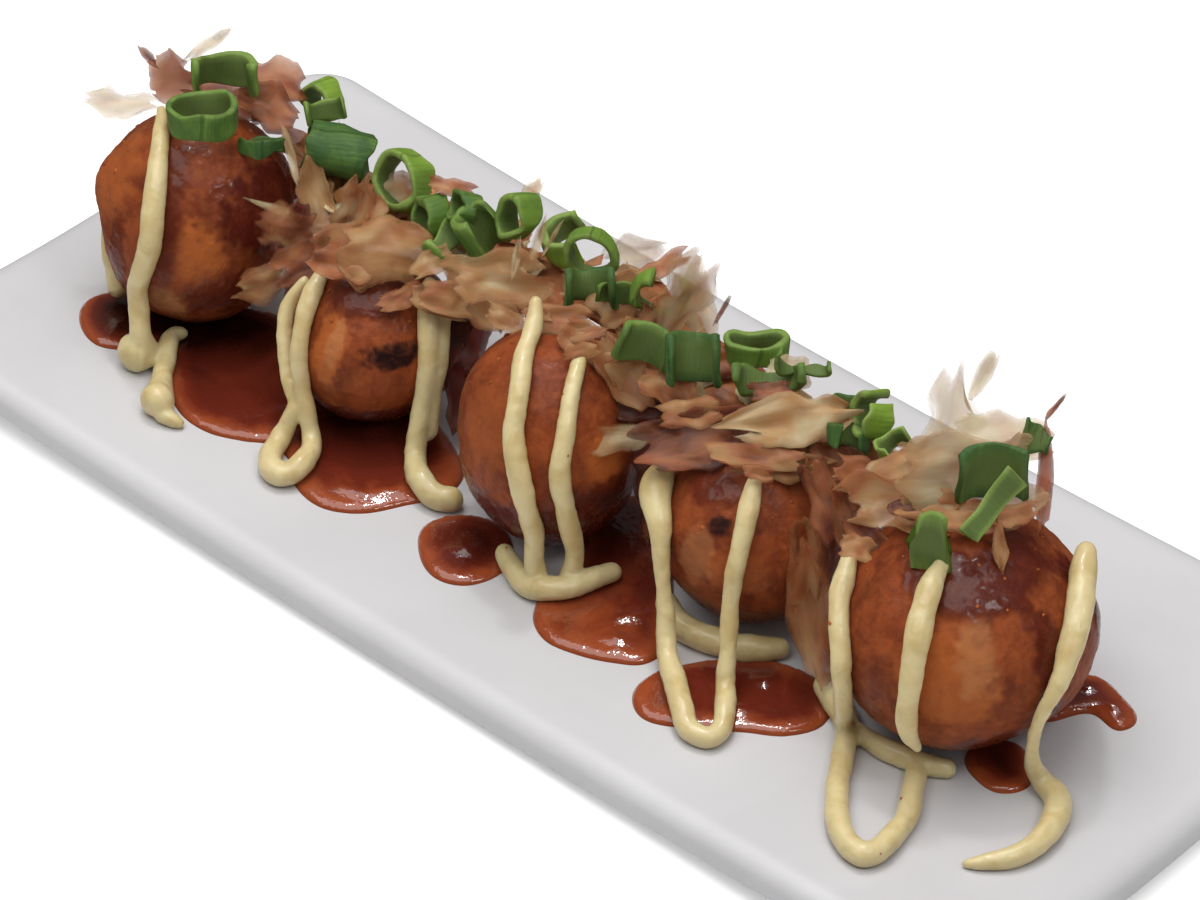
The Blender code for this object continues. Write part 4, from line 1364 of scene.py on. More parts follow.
RIBBONS = (
    Ribbon("mayo_1_left", (
        ((-121, -21, 19, 2.0), (-121, -22, 14, 3.0), (-118, -24, 8, 3.8), (-115, -26, 3, 4.6)),)),
    Ribbon("mayo_1_front", (
        ((-114, -12, 46, 2.6), (-107, -19, 44, 3.6), (-101, -27, 39, 4.6), (-98, -32, 30, 4.8),
         (-101, -33, 17, 4.2), (-98, -36, 9, 4.6), (-98, -35.5, 3, 7.2), (-99, -37.5, 0, 8.6),
         (-99.8, -40.2, 0, 8.8)),
        ((-97, -24, 0, 2.4), (-98.5, -27, 0, 3.4), (-94.5, -32.5, 0, 4.2), (-89.5, -39, 0, 4.6),
         (-84.5, -45, 0, 7.4), (-84, -47.5, 0, 8.2)),
        ((-84, -46, 0, 4.0), (-80, -45.5, 0, 3.4), (-77.5, -44.5, 0, 2.0)))),
    Ribbon("mayo_2_left", (
        ((-64, -15, 33, 3.6), (-62, -23, 29, 3.8), (-60, -28, 22, 3.6), (-58, -29.5, 13, 3.6),
         (-55.5, -30.5, 7, 3.6), (-52.5, -32.5, 2, 4.0), (-50, -37, 0, 4.4), (-49.5, -42, 0, 5.0),
         (-53, -43.5, 0, 5.2), (-57.5, -39.5, 0, 4.8), (-59, -34, 4, 3.8), (-58, -31, 10, 3.2)),
        ((-68, -17, 29, 3.0), (-69, -22, 22, 3.2), (-65, -27, 16, 3.2), (-60.5, -30, 11, 3.2),
         (-57.5, -30.5, 8, 3.0)))),
    Ribbon("mayo_2_right", (
        ((-46, -4, 33, 4.0), (-42, -10, 28, 4.2), (-38, -14, 21, 4.2), (-37, -16, 13, 4.2),
         (-36, -19, 8, 4.2), (-34, -22, 3, 4.4), (-29, -26, 0, 5.0), (-23, -27, 0, 5.2),
         (-19, -24, 0, 5.0)),
        ((-44, -2, 31, 3.6), (-40, -8, 26, 4.0), (-37.5, -12.5, 19, 4.2), (-36.5, -14.5, 12, 4.2),
         (-35, -17.5, 5, 4.2)))),
    Ribbon("mayo_3", (
        ((-11.6, -10, 50, 3.0), (-9, -13, 47, 3.6), (-6, -19, 44, 3.8), (-1, -26, 41, 4.2),
         (2, -31, 35, 4.2), (6, -33, 27, 4.4), (8, -32, 14, 4.0), (8, -32, 6, 4.0), (11, -33, 0, 4.8)),
        ((2, -12, 44, 3.4), (6, -19, 41, 3.6), (9, -24, 36, 3.8), (11, -28, 29, 4.0), (13, -28, 20, 4.0),
         (14, -27, 8, 3.8), (13, -30, 0, 4.6)),
        ((-3, -30, 0, 3.8), (2, -32, 0, 4.6), (8, -34, 0, 4.8), (14, -32, 0, 4.8), (17, -25, 0, 4.6),
         (19, -19, 0, 3.8)))),
    Ribbon("mayo_4", (
        ((26, -13, 31, 5.2), (28, -18, 28, 6.6), (33, -23, 25, 4.6), (36, -26, 18, 3.0), (39, -28, 10, 3.4),
         (43, -32, 4, 4.2), (51, -38, 0, 4.6), (59, -44, 0, 4.6), (64, -43, 0, 4.4), (63, -38, 0, 4.2),
         (58, -32, 3, 4.0), (55, -28, 9, 3.4), (52, -24, 17, 3.4), (51, -21, 26, 3.8), (49, -16, 33, 4.0),
         (46, -10, 38, 3.6)),)),
    Ribbon("mayo_4_foot", (
        ((31, -20, 0, 4.6), (39, -23, 0, 5.2), (46, -22, 0, 5.4), (53, -19, 0, 5.2), (58, -13, 0, 4.4)),)),
    Ribbon("mayo_5_loop", (
        ((69, -17, 0, 5.0), (75, -19, 0, 5.2), (81, -23, 0, 4.8), (86, -30, 0, 4.4), (92, -39, 0, 4.4),
         (100, -47, 0, 4.8), (107, -49, 0, 4.8), (108, -44, 0, 4.6), (106, -35, 0, 4.4), (101, -27, 0, 4.2),
         (97, -21, 0, 3.6)),
        ((73, -14, 37, 4.0), (76, -19, 34, 4.2), (80, -25, 30, 4.0), (84, -29, 24, 3.8), (84, -28, 14, 3.6),
         (81, -24, 4, 3.6)),
        ((82, -22, 0, 3.6), (90, -23, 0, 4.4), (98, -21, 0, 4.4), (104, -18, 0, 3.6)))),
    Ribbon("mayo_5_middle", (
        ((93.5, -11, 45, 3.4), (95, -17, 42, 4.6), (98, -24, 37, 5.0), (100, -28, 29, 4.4),
         (101, -30, 20, 4.0), (102, -27, 12, 1.6)),)),
    Ribbon("mayo_5_right", (
        ((107, 14.5, 40, 4.6), (109, 12, 39, 5.0), (112, 7, 37, 5.4), (116, 0, 33, 5.0),
         (119, -7, 27, 4.0), (118, -11, 20, 2.6),
         (117, -12, 10, 2.6), (118, -10, 3, 4.4), (124, -12, 0, 5.2), (128, -20, 0, 5.0),
         (128, -28, 0, 4.2), (125, -33, 0, 3.2), (121, -37, 0, 1.6)),)),
)


# --- The thin toppings ---


def box_middle(points: Iterable[Vector]) -> Vector:
    """Return the middle of the box round some points."""
    array = np.array([tuple(point) for point in points])
    return Vector((array.min(axis=0) + array.max(axis=0)) / 2)


@dataclass(frozen=True)
class Topping:
    """One thin topping. Its heading is the bearing of its long axis, and a pitch lifts its far end."""

    name: str
    x: float
    y: float
    z: float
    heading: float
    pitch: float
    roll: float

    def seed(self, share: float) -> Vector:
        """Return the start of the topping's own noise."""
        return Vector((self.x, self.y, self.z)) * share

    def turn(self) -> Matrix:
        """Find how the topping is turned.

        Returns:
            The turn from the flat topping to how it lies.
        """
        turns = ((self.heading, "Z"), (-self.pitch, "Y"), (self.roll, "X"))
        first, second, third = (Matrix.Rotation(math.radians(angle), 4, axis) for angle, axis in turns)
        return first @ second @ third

    def curled(self, along: float, side: float) -> Vector:
        """Bend a flat strip's point.

        Args:
            along: Distance along the strip from its middle.
            side: Distance across it from its middle.

        Returns:
            The point once the strip is cupped across, twisted, and bent along its length.
        """
        lift = 0.0
        if self.cup:
            radius = self.width / math.radians(self.cup)
            side, lift = radius * math.sin(side / radius), radius * (1 - math.cos(side / radius))
        turn = Matrix.Rotation(math.radians(self.twist) * 2 * along / self.length, 2)
        side, lift = turn @ Vector((side, lift))
        if self.bend:
            radius = self.length / math.radians(self.bend)
            angle = along / radius
            along, lift = (radius - lift) * math.sin(angle), radius - (radius - lift) * math.cos(angle)
        return Vector((along, side, lift))

    def set_down(self, mesh: Mesh, coarse: list[Vector], node: str | None) -> None:
        """Move a mesh from the topping's flat frame to its place.

        Args:
            mesh: The mesh to move.
            coarse: A few points that span the topping.
            node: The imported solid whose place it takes, or None to use its own.
        """
        turn, middle = self.turn(), box_middle(coarse)
        place = Vector((self.x, self.y, self.z + Plate.top))
        if node is not None:
            low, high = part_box(node)
            turned = box_middle([turn @ (point - middle) for point in coarse])
            place = (Vector(low) + Vector(high)) / 2 / MM - turned
        mesh.transform(Matrix.Scale(MM, 4) @ Matrix.Translation(place) @ turn @ Matrix.Translation(-middle))


@dataclass(frozen=True)
class Flake(Topping):
    """One bonito flake, with how far it is cupped, bent and twisted, and how pointed its ends are."""

    length: float
    width: float
    cup: float
    bend: float
    twist: float
    point: float
    tone: float = 0.4
    sheer: float = 0.3

    thickness: float = 0.16
    ragged: float = 0.70
    crumple: float = 2.0
    crumple_pitch: float = 1.6
    fibre: float = 0.06
    wrinkle: float = 0.45
    fray: float = 0.06
    side_fray: float = 0.05
    split: float = 0.25
    tear_level: float = 0.93
    tone_drift: float = 0.25
    sheer_range: tuple[float, float] = (0.10, 0.40)
    cells: float = 1.1

    def at(self, u: float, v: float) -> Vector:
        """Find a point of the flake's broad shape.

        Args:
            u: Place along the flake, from -1 to 1.
            v: Place across it, from -1 to 1.

        Returns:
            The point in the flake's own frame.
        """
        seed, pitch = self.seed(0.37), self.crumple_pitch
        ends = 1 + self.ragged * wave(seed, 0, v * pitch, math.copysign(3, u))
        sides = 1 + self.ragged * wave(seed, u * pitch, math.copysign(3, v), 0)
        sides *= 1 - self.point * abs(u) ** 2.5
        point = self.curled(self.length / 2 * u * ends, self.width / 2 * v * sides)
        return point + Vector((0, 0, self.crumple * noise.noise(seed + Vector((u, v, 7)) * pitch)))

    def skin(self) -> Mesh:
        """Build the flake's fine shape.

        Returns:
            A flat sheet with torn edges, in its own frame.
        """
        columns, rows = max(8, round(self.length * self.cells)), max(4, round(self.width * self.cells))
        seed = self.seed(0.91)
        bm = bmesh.new()
        bmesh.ops.create_grid(bm, x_segments=columns, y_segments=rows, size=1)
        flat = {}
        for vert in bm.verts:
            u, v = flat[vert] = vert.co.x, vert.co.y
            split = max(0.0, wave(seed, math.copysign(2, u), v * self.width * 0.9, 3)) ** 2
            frayed_u = u * (1 + abs(u) ** 4 * (self.fray * wave(seed, 0, v * 6, u) - self.split * split))
            frayed_v = v * (1 + self.side_fray * abs(v) ** 4 * wave(seed, u * 9, 0, v))
            fibre = wave(seed, u * 1.2, v * self.width * 0.45, 2)
            wrinkle = wave(seed, u * self.length * 0.11, v * self.width * 0.13, 9)
            lift = self.fibre * fibre + self.wrinkle * wrinkle
            vert.co = self.at(frayed_u, frayed_v) + Vector((0, 0, lift))
        torn = []
        for face in bm.faces:
            u, v = np.mean([flat[vert] for vert in face.verts], axis=0)
            if wave(seed, u * 1.8, v * 4.0, 5) + 0.5 * max(abs(u), abs(v)) ** 6 > self.tear_level:
                torn.append(face)
        bmesh.ops.delete(bm, geom=torn, context="FACES")
        offset, places, tones, sheers = Vector((self.x * 3.7, self.y * 5.1)), {}, [], []
        for vert in bm.verts:
            u, v = flat[vert]
            places[vert] = Vector((u * self.length / 2, v * self.width / 2)) + offset
            tones.append(self.tone + self.tone_drift * wave(seed, u * 1.3, v * 1.3, 4))
            least, edge = self.sheer_range
            sheers.append(self.sheer + least + edge * max(abs(u) ** 5, abs(v) ** 3))
        map_grain(bm, places)
        mesh = mesh_of(self.name, bm)
        store(mesh, tone=tones, sheer=sheers)
        return mesh

    def lay(self, material: Material, node: str | None) -> Object:
        """Make the flake and lay it in its place.

        Args:
            material: The fish.
            node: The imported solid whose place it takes, or None to use its own.

        Returns:
            The flake as a plain piece in the row frame.
        """
        mesh = self.skin()
        coarse = [self.at(-1 + column / 3, -1 + 2 * row / 3) for column in range(7) for row in range(4)]
        self.set_down(mesh, coarse, node)
        return thickened(add_piece(f"{self.name}_shaved", mesh, material), self.thickness)


FLAKES = (
    Flake("flake_1_left", -126, -12, 40, 42, -10, 40, 12, 7, 20, 20, 0, 0.5, 0.0, 0.45),
    Flake("flake_1_right", -103, 7, 46, 42, -22, 45, 13, 13, -50, -40, 10, 0.4, 0.62, 0.1),
    Flake("flake_1_top", -116, -6, 50, 42, 10, 75, 9, 13, 70, 30, 20, 0.4, 0.5, 0.1),
    Flake("flake_2_curl", -79, -19, 22, 42, 20, 62, 15, 8, -30, -60, 15, 0.5, 0.5, 0.4),
    Flake("flake_2_bridge", -76, -13, 35, 42, -6, 62, 14, 9, -20, -70, 20, 0.4, 0.68, 0.60),
    Flake("flake_2_front", -53, -10, 35, 42, -8, 40, 16, 13, -50, -50, 0, 0.25, 0.5, 0.2),
    Flake("flake_2_upright", -69, -3, 40, 60, 76, 70, 16, 8, 50, 20, 20, 0.5, 0.42, 0.3),
    Flake("flake_3_left", -26, 0, 37, 42, -6, 40, 19, 10, 25, 60, 15, 0.4, 0.38, 0.3),
    Flake("flake_3_back", -11, 18, 46, 42, 12, 65, 12, 8, 60, 30, 30, 0.4, 0.08, 0.5),
    Flake("flake_3_tall", 7, 9, 46, 62, 60, 80, 18, 13, 35, 20, 10, 0.3, 0.22, 0.4),
    Flake("flake_3_right", 12, -3, 34, 42, -30, 60, 14, 11, 40, 30, 15, 0.4, 0.45, 0.3),
    Flake("flake_4_low", 47, -5, 37, 42, -4, 50, 16, 7, 20, -20, 10, 0.3, 0.58, 0.2),
    Flake("flake_4_leaf", 45, 0, 44, 42, 10, 40, 26, 10, 60, 30, 10, 0.6, 0.30, 0.1),
    Flake("flake_4_hanging", 62, -14, 15, 42, -82, 80, 27, 8, 30, 20, 15, 0.3, 0.62, 0.3),
    Flake("flake_5_curl", 78, -6, 44, 42, 4, 50, 19, 13, 110, 20, 10, 0.4, 0.42, 0.2),
    Flake("flake_5_sheet", 87, 5, 50, 42, 0, 62, 26, 22, 40, 30, 10, 0.2, 0.26, 0.3),
    Flake("flake_5_upright", 76, 13, 49, 122, 55, 8, 23, 11, 50, 30, 10, 0.3, 0.02, 0.45),
)


@dataclass(frozen=True)
class TornFlake(Flake):
    """A smaller torn piece of a flake, flatter and straighter at its edges."""

    ragged: float = 0.45
    crumple: float = 1.3


# Torn pieces that lie between and over the larger flakes. Those with a tone above 1 lie low in the gaps
# between the balls, and they are darkened as painted shade of those gaps.
LOOSE_FLAKES = tuple(TornFlake(f"loose_{number}", *row) for number, row in enumerate((
    (-118, -11, 56, -174, 35, -38, 6, 2, 40, 40, 10, 0.9, 0.85, 0.20),
    (-111, -1, 57, 66, 26, 44, 11, 3, 20, 25, 10, 0.8, 0.05, 0.45),
    (-107, 1, 44, 32, -11, 29, 18, 7, 20, 20, 10, 0.4, 0.72, 0.05),
    (-99, 4, 45, 22, -22, 26, 13, 9, 30, 20, 10, 0.3, 0.80, 0.00),
    (-87, -2, 42, -25, -48, 17, 12, 2, 40, 30, 20, 0.6, 0.25, 0.30),
    (-84, -10, 34, -151, 15, -48, 12, 2, 40, 40, 20, 0.7, 0.25, 0.50),
    (-78, -4, 34, 147, 49, -21, 17, 7, 30, 30, 15, 0.3, 0.42, 0.25),
    (-64, -3, 38, 109, 48, 7, 11, 7, 30, 20, 15, 0.4, 0.55, 0.15),
    (-51, 8, 46, 32, -11, 29, 9, 4, 30, 20, 10, 0.4, 0.60, 0.10),
    (-37, 16, 48, 80, 36, 27, 6, 3, 20, 20, 10, 0.4, 0.15, 0.35),
    (-27, 1, 45, 117, 49, 12, 8, 2, 30, 30, 20, 0.8, 0.20, 0.50),
    (-27, 7, 45, 108, 47, 18, 11, 2, 30, 25, 20, 0.8, 0.20, 0.50),
    (-25, 9, 46, 90, 41, 31, 8, 1, 30, 30, 20, 0.8, 0.20, 0.50),
    (6, 17, 42, 155, 48, -32, 17, 8, 30, 30, 10, 0.3, 0.08, 0.40),
    (2, 12, 52, 59, 19, 37, 11, 4, 40, 20, 10, 0.4, 0.60, 0.10),
    (15, 15, 46, 92, 42, 29, 7, 1, 20, 20, 10, 0.6, 0.95, 0.20),
    (0, -9, 46, 48, 8, 24, 9, 3, 40, 20, 10, 0.4, 0.60, 0.10),
    (9, -7, 41, 4, -36, 22, 15, 9, 30, 30, 15, 0.3, 0.58, 0.20),
    (14, -8, 35, 42, 0, 50, 10, 6, 20, 20, 10, 0.2, 1.10, 0.00),
    (15, -17, 33, 47, 6, 50, 15, 6, 30, 20, 10, 0.3, 0.25, 0.60),
    (31, -12, 38, 52, 11, 34, 22, 13, 50, 30, 10, 0.3, 0.94, 0.12),
    (28, -9, 42, 48, 8, 29, 13, 6, 30, 30, 10, 0.3, 0.58, 0.15),
    (38, 3, 45, 42, 0, 30, 9, 5, 40, 20, 10, 0.3, 0.86, 0.00),
    (56, 2, 36, -6, -41, 20, 13, 9, 30, 30, 10, 0.3, 0.80, 0.10),
    (65, -2, 42, 22, -22, 31, 11, 8, 30, 20, 10, 0.3, 0.72, 0.05),
    (81, -7, 47, 42, 0, 30, 8, 4, 40, 20, 10, 0.3, 0.97, 0.00),
    (72, 2, 46, 66, 26, 29, 13, 9, 30, 20, 10, 0.3, 0.42, 0.20),
    (98, 3, 49, 48, 8, 29, 9, 5, 60, 40, 10, 0.4, 0.60, 0.10),
    (100, -3, 46, -40, -50, 6, 10, 3, 40, 20, 10, 0.9, 0.50, 0.20),
    (96, 15, 50, 129, 50, 3, 18, 3, 30, 20, 10, 0.4, 0.80, 0.10),
    (92, 22, 60, 80, 36, 37, 6, 1, 20, 60, 10, 0.7, 0.80, 0.10),
    (84, 17, 52, 39, -4, 35, 17, 9, 20, 30, 10, 0.2, 0.10, 0.30),
    (76, 20, 60, 90, 41, 31, 10, 3, 30, 20, 10, 0.4, 0.03, 0.35),
    (-40, -3, 25, 117, 49, 12, 13, 8, 20, 20, 10, 0.3, 1.05, 0.00),
    (64, -14, 17, -36, -49, 9, 30, 9, 30, 20, 10, 0.2, 0.66, 0.35),
    (-80, -7, 30, 103, 46, 22, 12, 8, 30, 30, 10, 0.3, 0.70, 0.20),
    (-83, 7, 40, 147, 49, -21, 10, 6, 30, 30, 10, 0.4, 0.50, 0.20),
    (-58, -17, 38, 36, -8, 34, 14, 7, 30, 30, 10, 0.3, 0.62, 0.10),
    (-45, -14, 34, 55, 15, 33, 9, 5, 30, 30, 10, 0.4, 0.66, 0.15),
    (-33, -4, 34, 18, -26, 34, 16, 9, 30, 30, 10, 0.3, 0.50, 0.20),
    (2, -9, 45, 22, -22, 31, 12, 8, 30, 30, 10, 0.3, 0.62, 0.10),
    (7, 4, 40, -6, -41, 20, 14, 9, 30, 30, 10, 0.3, 0.66, 0.10),
    (19, -5, 40, 29, -15, 33, 12, 7, 30, 30, 10, 0.3, 0.72, 0.10),
    (60, -6, 36, -19, -46, 22, 16, 8, 30, 30, 10, 0.3, 0.85, 0.00),
    (65, -5, 34, -33, -49, 11, 14, 6, 30, 30, 10, 0.3, 0.80, 0.10),
    (45, -8, 40, 39, -4, 30, 18, 5, 30, 20, 10, 0.3, 0.62, 0.05),
    (84, -4, 48, 42, 0, 30, 12, 6, 40, 20, 10, 0.3, 0.55, 0.10),
    (91, -4, 48, 39, -4, 30, 14, 5, 40, 20, 10, 0.3, 0.48, 0.10),
    (-38, -3, 26, 114, 48, 14, 20, 13, 20, 20, 10, 0.2, 1.15, 0.00),
    (-34, 0, 32, 14, -29, 42, 14, 10, 20, 20, 10, 0.2, 0.95, 0.00),
    (16, -7, 28, 140, 50, -6, 20, 11, 20, 20, 10, 0.2, 1.10, 0.00),
    (-71, -15, 30, 62, 22, 46, 13, 8, 20, 20, 10, 0.3, 0.80, 0.10),
    (-76, -13, 34, 90, 41, 31, 10, 7, 20, 20, 10, 0.3, 0.95, 0.10),
    (80, -21, 46, 36, -8, 39, 7, 5, 40, 20, 10, 0.3, 0.50, 0.10),
    (48, -12, 40, 36, -8, 39, 6, 3, 40, 20, 10, 0.3, 0.62, 0.10),
    (-11, -10, 46, 32, -11, 39, 6, 3, 40, 20, 10, 0.3, 0.55, 0.20),
    (3, -13, 46, 48, 8, 39, 7, 3, 40, 20, 10, 0.3, 0.60, 0.20),
    (-66, 7, 38, 42, 0, 50, 9, 7, 20, 20, 10, 0.2, 0.25, 0.20),
    (-4, 6, 44, 70, 29, 32, 12, 9, 20, 20, 10, 0.2, 0.45, 0.20),
    (34, 13, 42, 42, 0, 40, 8, 6, 20, 20, 10, 0.2, 0.08, 0.30),
    (-39, -9, 34, 29, -15, 38, 12, 6, 20, 20, 10, 0.3, 0.48, 0.20),
    (-18, -12, 42, 22, -22, 36, 9, 5, 30, 20, 10, 0.3, 0.40, 0.30),
    (-34, -8, 14, 129, 50, 3, 18, 7, 20, 20, 10, 0.2, 1.15, 0.00),
    (20, -10, 16, 140, 50, -6, 16, 7, 20, 20, 10, 0.2, 1.05, 0.00),
    (-74, -13, 20, 124, 50, 6, 14, 7, 20, 20, 10, 0.2, 1.05, 0.10),
    (-66, -9, 34, 55, 15, 38, 12, 7, 30, 20, 10, 0.3, 0.62, 0.05),
    (-8, -8, 45, 38, -5, 38, 13, 7, 30, 20, 10, 0.3, 0.62, 0.05),
    (75, -12, 40, 4, -36, 37, 11, 7, 20, 20, 10, 0.3, 0.85, 0.00),
    (-36, -9, 36, 36, -8, 39, 11, 7, 30, 20, 10, 0.3, 0.50, 0.10),
    (-43, -7, 40, 62, 22, 36, 9, 5, 30, 20, 10, 0.3, 0.40, 0.20),
    (19, 6, 42, 29, -15, 38, 12, 6, 30, 20, 10, 0.3, 0.75, 0.05),
), start=1))


@dataclass(frozen=True)
class OnionSlice(Topping):
    """One slice of spring onion: a tube cut across, or a part of one, with its bore along Y."""

    radius: float
    height: float
    arc: float
    squash: float
    tone: float = 0.5
    thickness: float = 1.5
    waist: float = 0.0

    cup: float = 0.0
    twist: float = 0.0
    warp: float = 1.1
    wall_drift: float = 0.22
    wall_shift: float = 0.28
    slant: float = 1.3
    rim_start: float = 0.80
    rim_width: float = 0.15
    full_turn: float = 359
    step: float = 7

    @property
    def length(self) -> float:
        """Return the length of the wall round the slice."""
        return math.radians(self.arc) * self.radius

    @property
    def width(self) -> float:
        """Return the slice's height along its bore."""
        return self.height

    @property
    def bend(self) -> float:
        """Return how far round the wall goes, in degrees."""
        return self.arc

    def at(self, u: float, v: float) -> Vector:
        """Return a point of the wall's middle, u round it and v along the bore from -1 to 1."""
        point = self.curled(self.length / 2 * u, self.width / 2 * v)
        return Vector((point.x, point.y, point.z * self.squash))

    def skin(self) -> Mesh:
        """Build the slice's wall.

        Returns:
            A closed skin with rounded rims, in its own frame.
        """
        seed, section, steps = self.seed(0.53), self.section(), max(10, round(self.arc / self.step))
        closed = self.arc >= self.full_turn
        bm = bmesh.new()
        rings, inner, rim, places = [], [], [], {}
        for index in range(steps if closed else steps + 1):
            u = -1 + 2 * index / steps
            angle = math.radians(self.arc) * u / 2
            out = Vector((math.sin(angle), 0, -math.cos(angle) / self.squash)).normalized()
            wobble = Vector((math.sin(angle), math.cos(angle), 0)) * 1.3
            wall = 1 + self.wall_drift * noise.noise(seed + wobble * 1.5)
            shift = self.wall_shift * wave(seed + wobble, 0, 0, 4)
            ring = []
            for v, depth in section:
                narrow = 1 - self.waist * (0.5 + 0.7 * wave(seed, v * 1.4, 0, 11))
                slant = self.slant * v * wave(seed + wobble * 0.8, 0, 0, 8)
                point = self.at(u * narrow, v) + out * (depth * self.thickness / 2 * wall + shift)
                spot = point * 0.17 + seed
                warp = Vector([wave(spot, 9 * axis, 0, 0) for axis in range(3)]) * self.warp
                ring.append(bm.verts.new(point + warp + Vector((0, slant, 0))))
                inner.append(1.0 if depth < 0 else 0.0)
                rim.append(min(max((abs(v) - self.rim_start) / self.rim_width, 0), 1))
                places[ring[-1]] = (u * self.length / 2, v * self.width / 2)
            rings.append(ring)
        loft(bm, rings, closed)
        map_grain(bm, places)
        mesh = mesh_of(self.name, bm)
        store(mesh, inner=inner, rim=rim, tone=self.tone)
        return mesh

    def section(self) -> list[tuple[float, float]]:
        """Draw the wall's rounded section.

        Returns:
            Points as (place along the bore, depth through the wall).
        """
        round_share = min(0.45 * self.thickness / self.width, 0.4)
        end, shoulder = 1 - round_share * 1.2, 1 - round_share * 0.35
        side = [-end, -0.5, 0.0, 0.5, end]
        far = [(shoulder, 0.75), (1.0, 0.25), (1.0, -0.25), (shoulder, -0.75)]
        near = [(-v, depth) for v, depth in reversed(far)]
        return [(v, 1.0) for v in side] + far + [(v, -1.0) for v in reversed(side)] + near

    def lay(self, material: Material, node: str | None) -> Object:
        """Make the slice and lay it in its place.

        Args:
            material: The spring onion.
            node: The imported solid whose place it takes, or None to use its own.

        Returns:
            The slice as a plain piece in the row frame.
        """
        mesh = self.skin()
        columns = max(4, round(self.arc / 32))
        coarse = [self.at(-1 + 2 * column / columns, v) for column in range(columns + 1) for v in (-1, 1)]
        self.set_down(mesh, coarse, node)
        return add_piece(f"{self.name}_cut", mesh, material)


ONIONS = (
    OnionSlice("onion_1_back", -108, -1, 51, 42, 0, 70, 6.3, 6.2, 230, 0.8, 0.45),
    OnionSlice("onion_1_front", -106, -12, 45, 42, 0, 78, 6.6, 5.6, 360, 0.8, 0.7),
    OnionSlice("onion_1_side", -95, 15, 45, 170, 0, 15, 4.0, 4.5, 360, 0.9, 0.15),
    OnionSlice("onion_2_left", -82, 7, 42, 125, 0, 10, 4.6, 13.0, 360, 0.9, 0.9),
    OnionSlice("onion_2_bright", -64, 7, 43, 170, 5, 25, 5.6, 5.5, 360, 1.0, 0.2),
    OnionSlice("onion_2_small", -53, 3, 42, 160, 0, 10, 4.0, 5.0, 360, 1.1, 0.6),
    OnionSlice("onion_2_long", -40, 4, 46, 100, 10, 60, 3.9, 10.5, 240, 1.0, 0.6),
    OnionSlice("onion_2_chunk", -35, 9, 46, 165, 0, 20, 3.5, 4.6, 360, 1.3, 0.4),
    OnionSlice("onion_3_hoop", -41, -1, 41, 110, 0, 30, 4.4, 4.6, 150, 1.0, 0.4),
    OnionSlice("onion_3_bright", -27, 12, 45, 130, 0, 70, 5.2, 6.5, 230, 0.9, 0.1),
    OnionSlice("onion_3_arch", -15, 10, 47, 30, 0, 0, 4.6, 3.0, 360, 1.1, 0.4),
    OnionSlice("onion_3_front", -9, 3, 43, 42, 0, 60, 4.6, 7.5, 220, 0.9, 0.9),
    OnionSlice("onion_4_arch", 4, 8, 45, 42, -10, 10, 4.9, 3.0, 300, 0.95, 0.4),
    OnionSlice("onion_4_left", 9, -2, 44, 42, -20, 70, 4.8, 7.0, 190, 0.8, 0.7),
    OnionSlice("onion_4_middle", 16, -1, 42, 42, 0, 60, 4.6, 9.5, 210, 0.9, 1.0),
    OnionSlice("onion_4_top", 25, 14, 48, 42, 0, 78, 5.8, 5.5, 360, 0.6, 0.5),
    OnionSlice("onion_4_right", 34, 7, 49, 42, 0, 30, 6.4, 5.0, 200, 0.8, 0.7),
    OnionSlice("onion_5_bright", 57, 10, 46, 150, 0, 20, 4.2, 5.5, 320, 1.0, 0.1),
    OnionSlice("onion_5_leaf", 91, 5, 53, 42, 0, 80, 8.0, 10.5, 100, 1.0, 1.0),
    OnionSlice("onion_5_front", 92, -14, 47, 20, 0, 90, 6.5, 12.5, 90, 1.0, 0.45, waist=0.7),
)


# Thin and small slices that lie between the larger ones.
LOOSE_SLICES = tuple(OnionSlice(f"slice_{number}", *row, thickness=0.8) for number, row in enumerate((
    (-93, -4, 42, 42, 0, 60, 4.6, 3.0, 360, 0.8, 0.9),
    (38, 12, 47, 42, -20, 20, 5.0, 2.4, 200, 0.9, 0.7),
    (50, 11, 44, 60, 0, 70, 3.2, 4.0, 170, 0.9, 0.9),
    (56, 5, 43, 42, -10, 60, 3.8, 4.6, 300, 0.8, 1.0),
    (66, 6, 45, 100, 10, 60, 3.4, 5.0, 200, 1.0, 0.1),
    (97, -2, 54, 82, 36, 36, 14.0, 5.0, 62, 1.0, 0.20),
    (92, 16, 56, 42, -30, 50, 3.0, 5.0, 160, 0.6, 1.0),
    (-88, 9, 46, 60, 0, 60, 3.8, 4.0, 200, 0.9, 0.5),
    (-46, 6, 45, 140, 0, 30, 3.4, 4.0, 360, 0.9, 0.8),
    (-3, 5, 46, 20, 0, 70, 3.6, 4.0, 220, 0.9, 0.6),
), start=1))


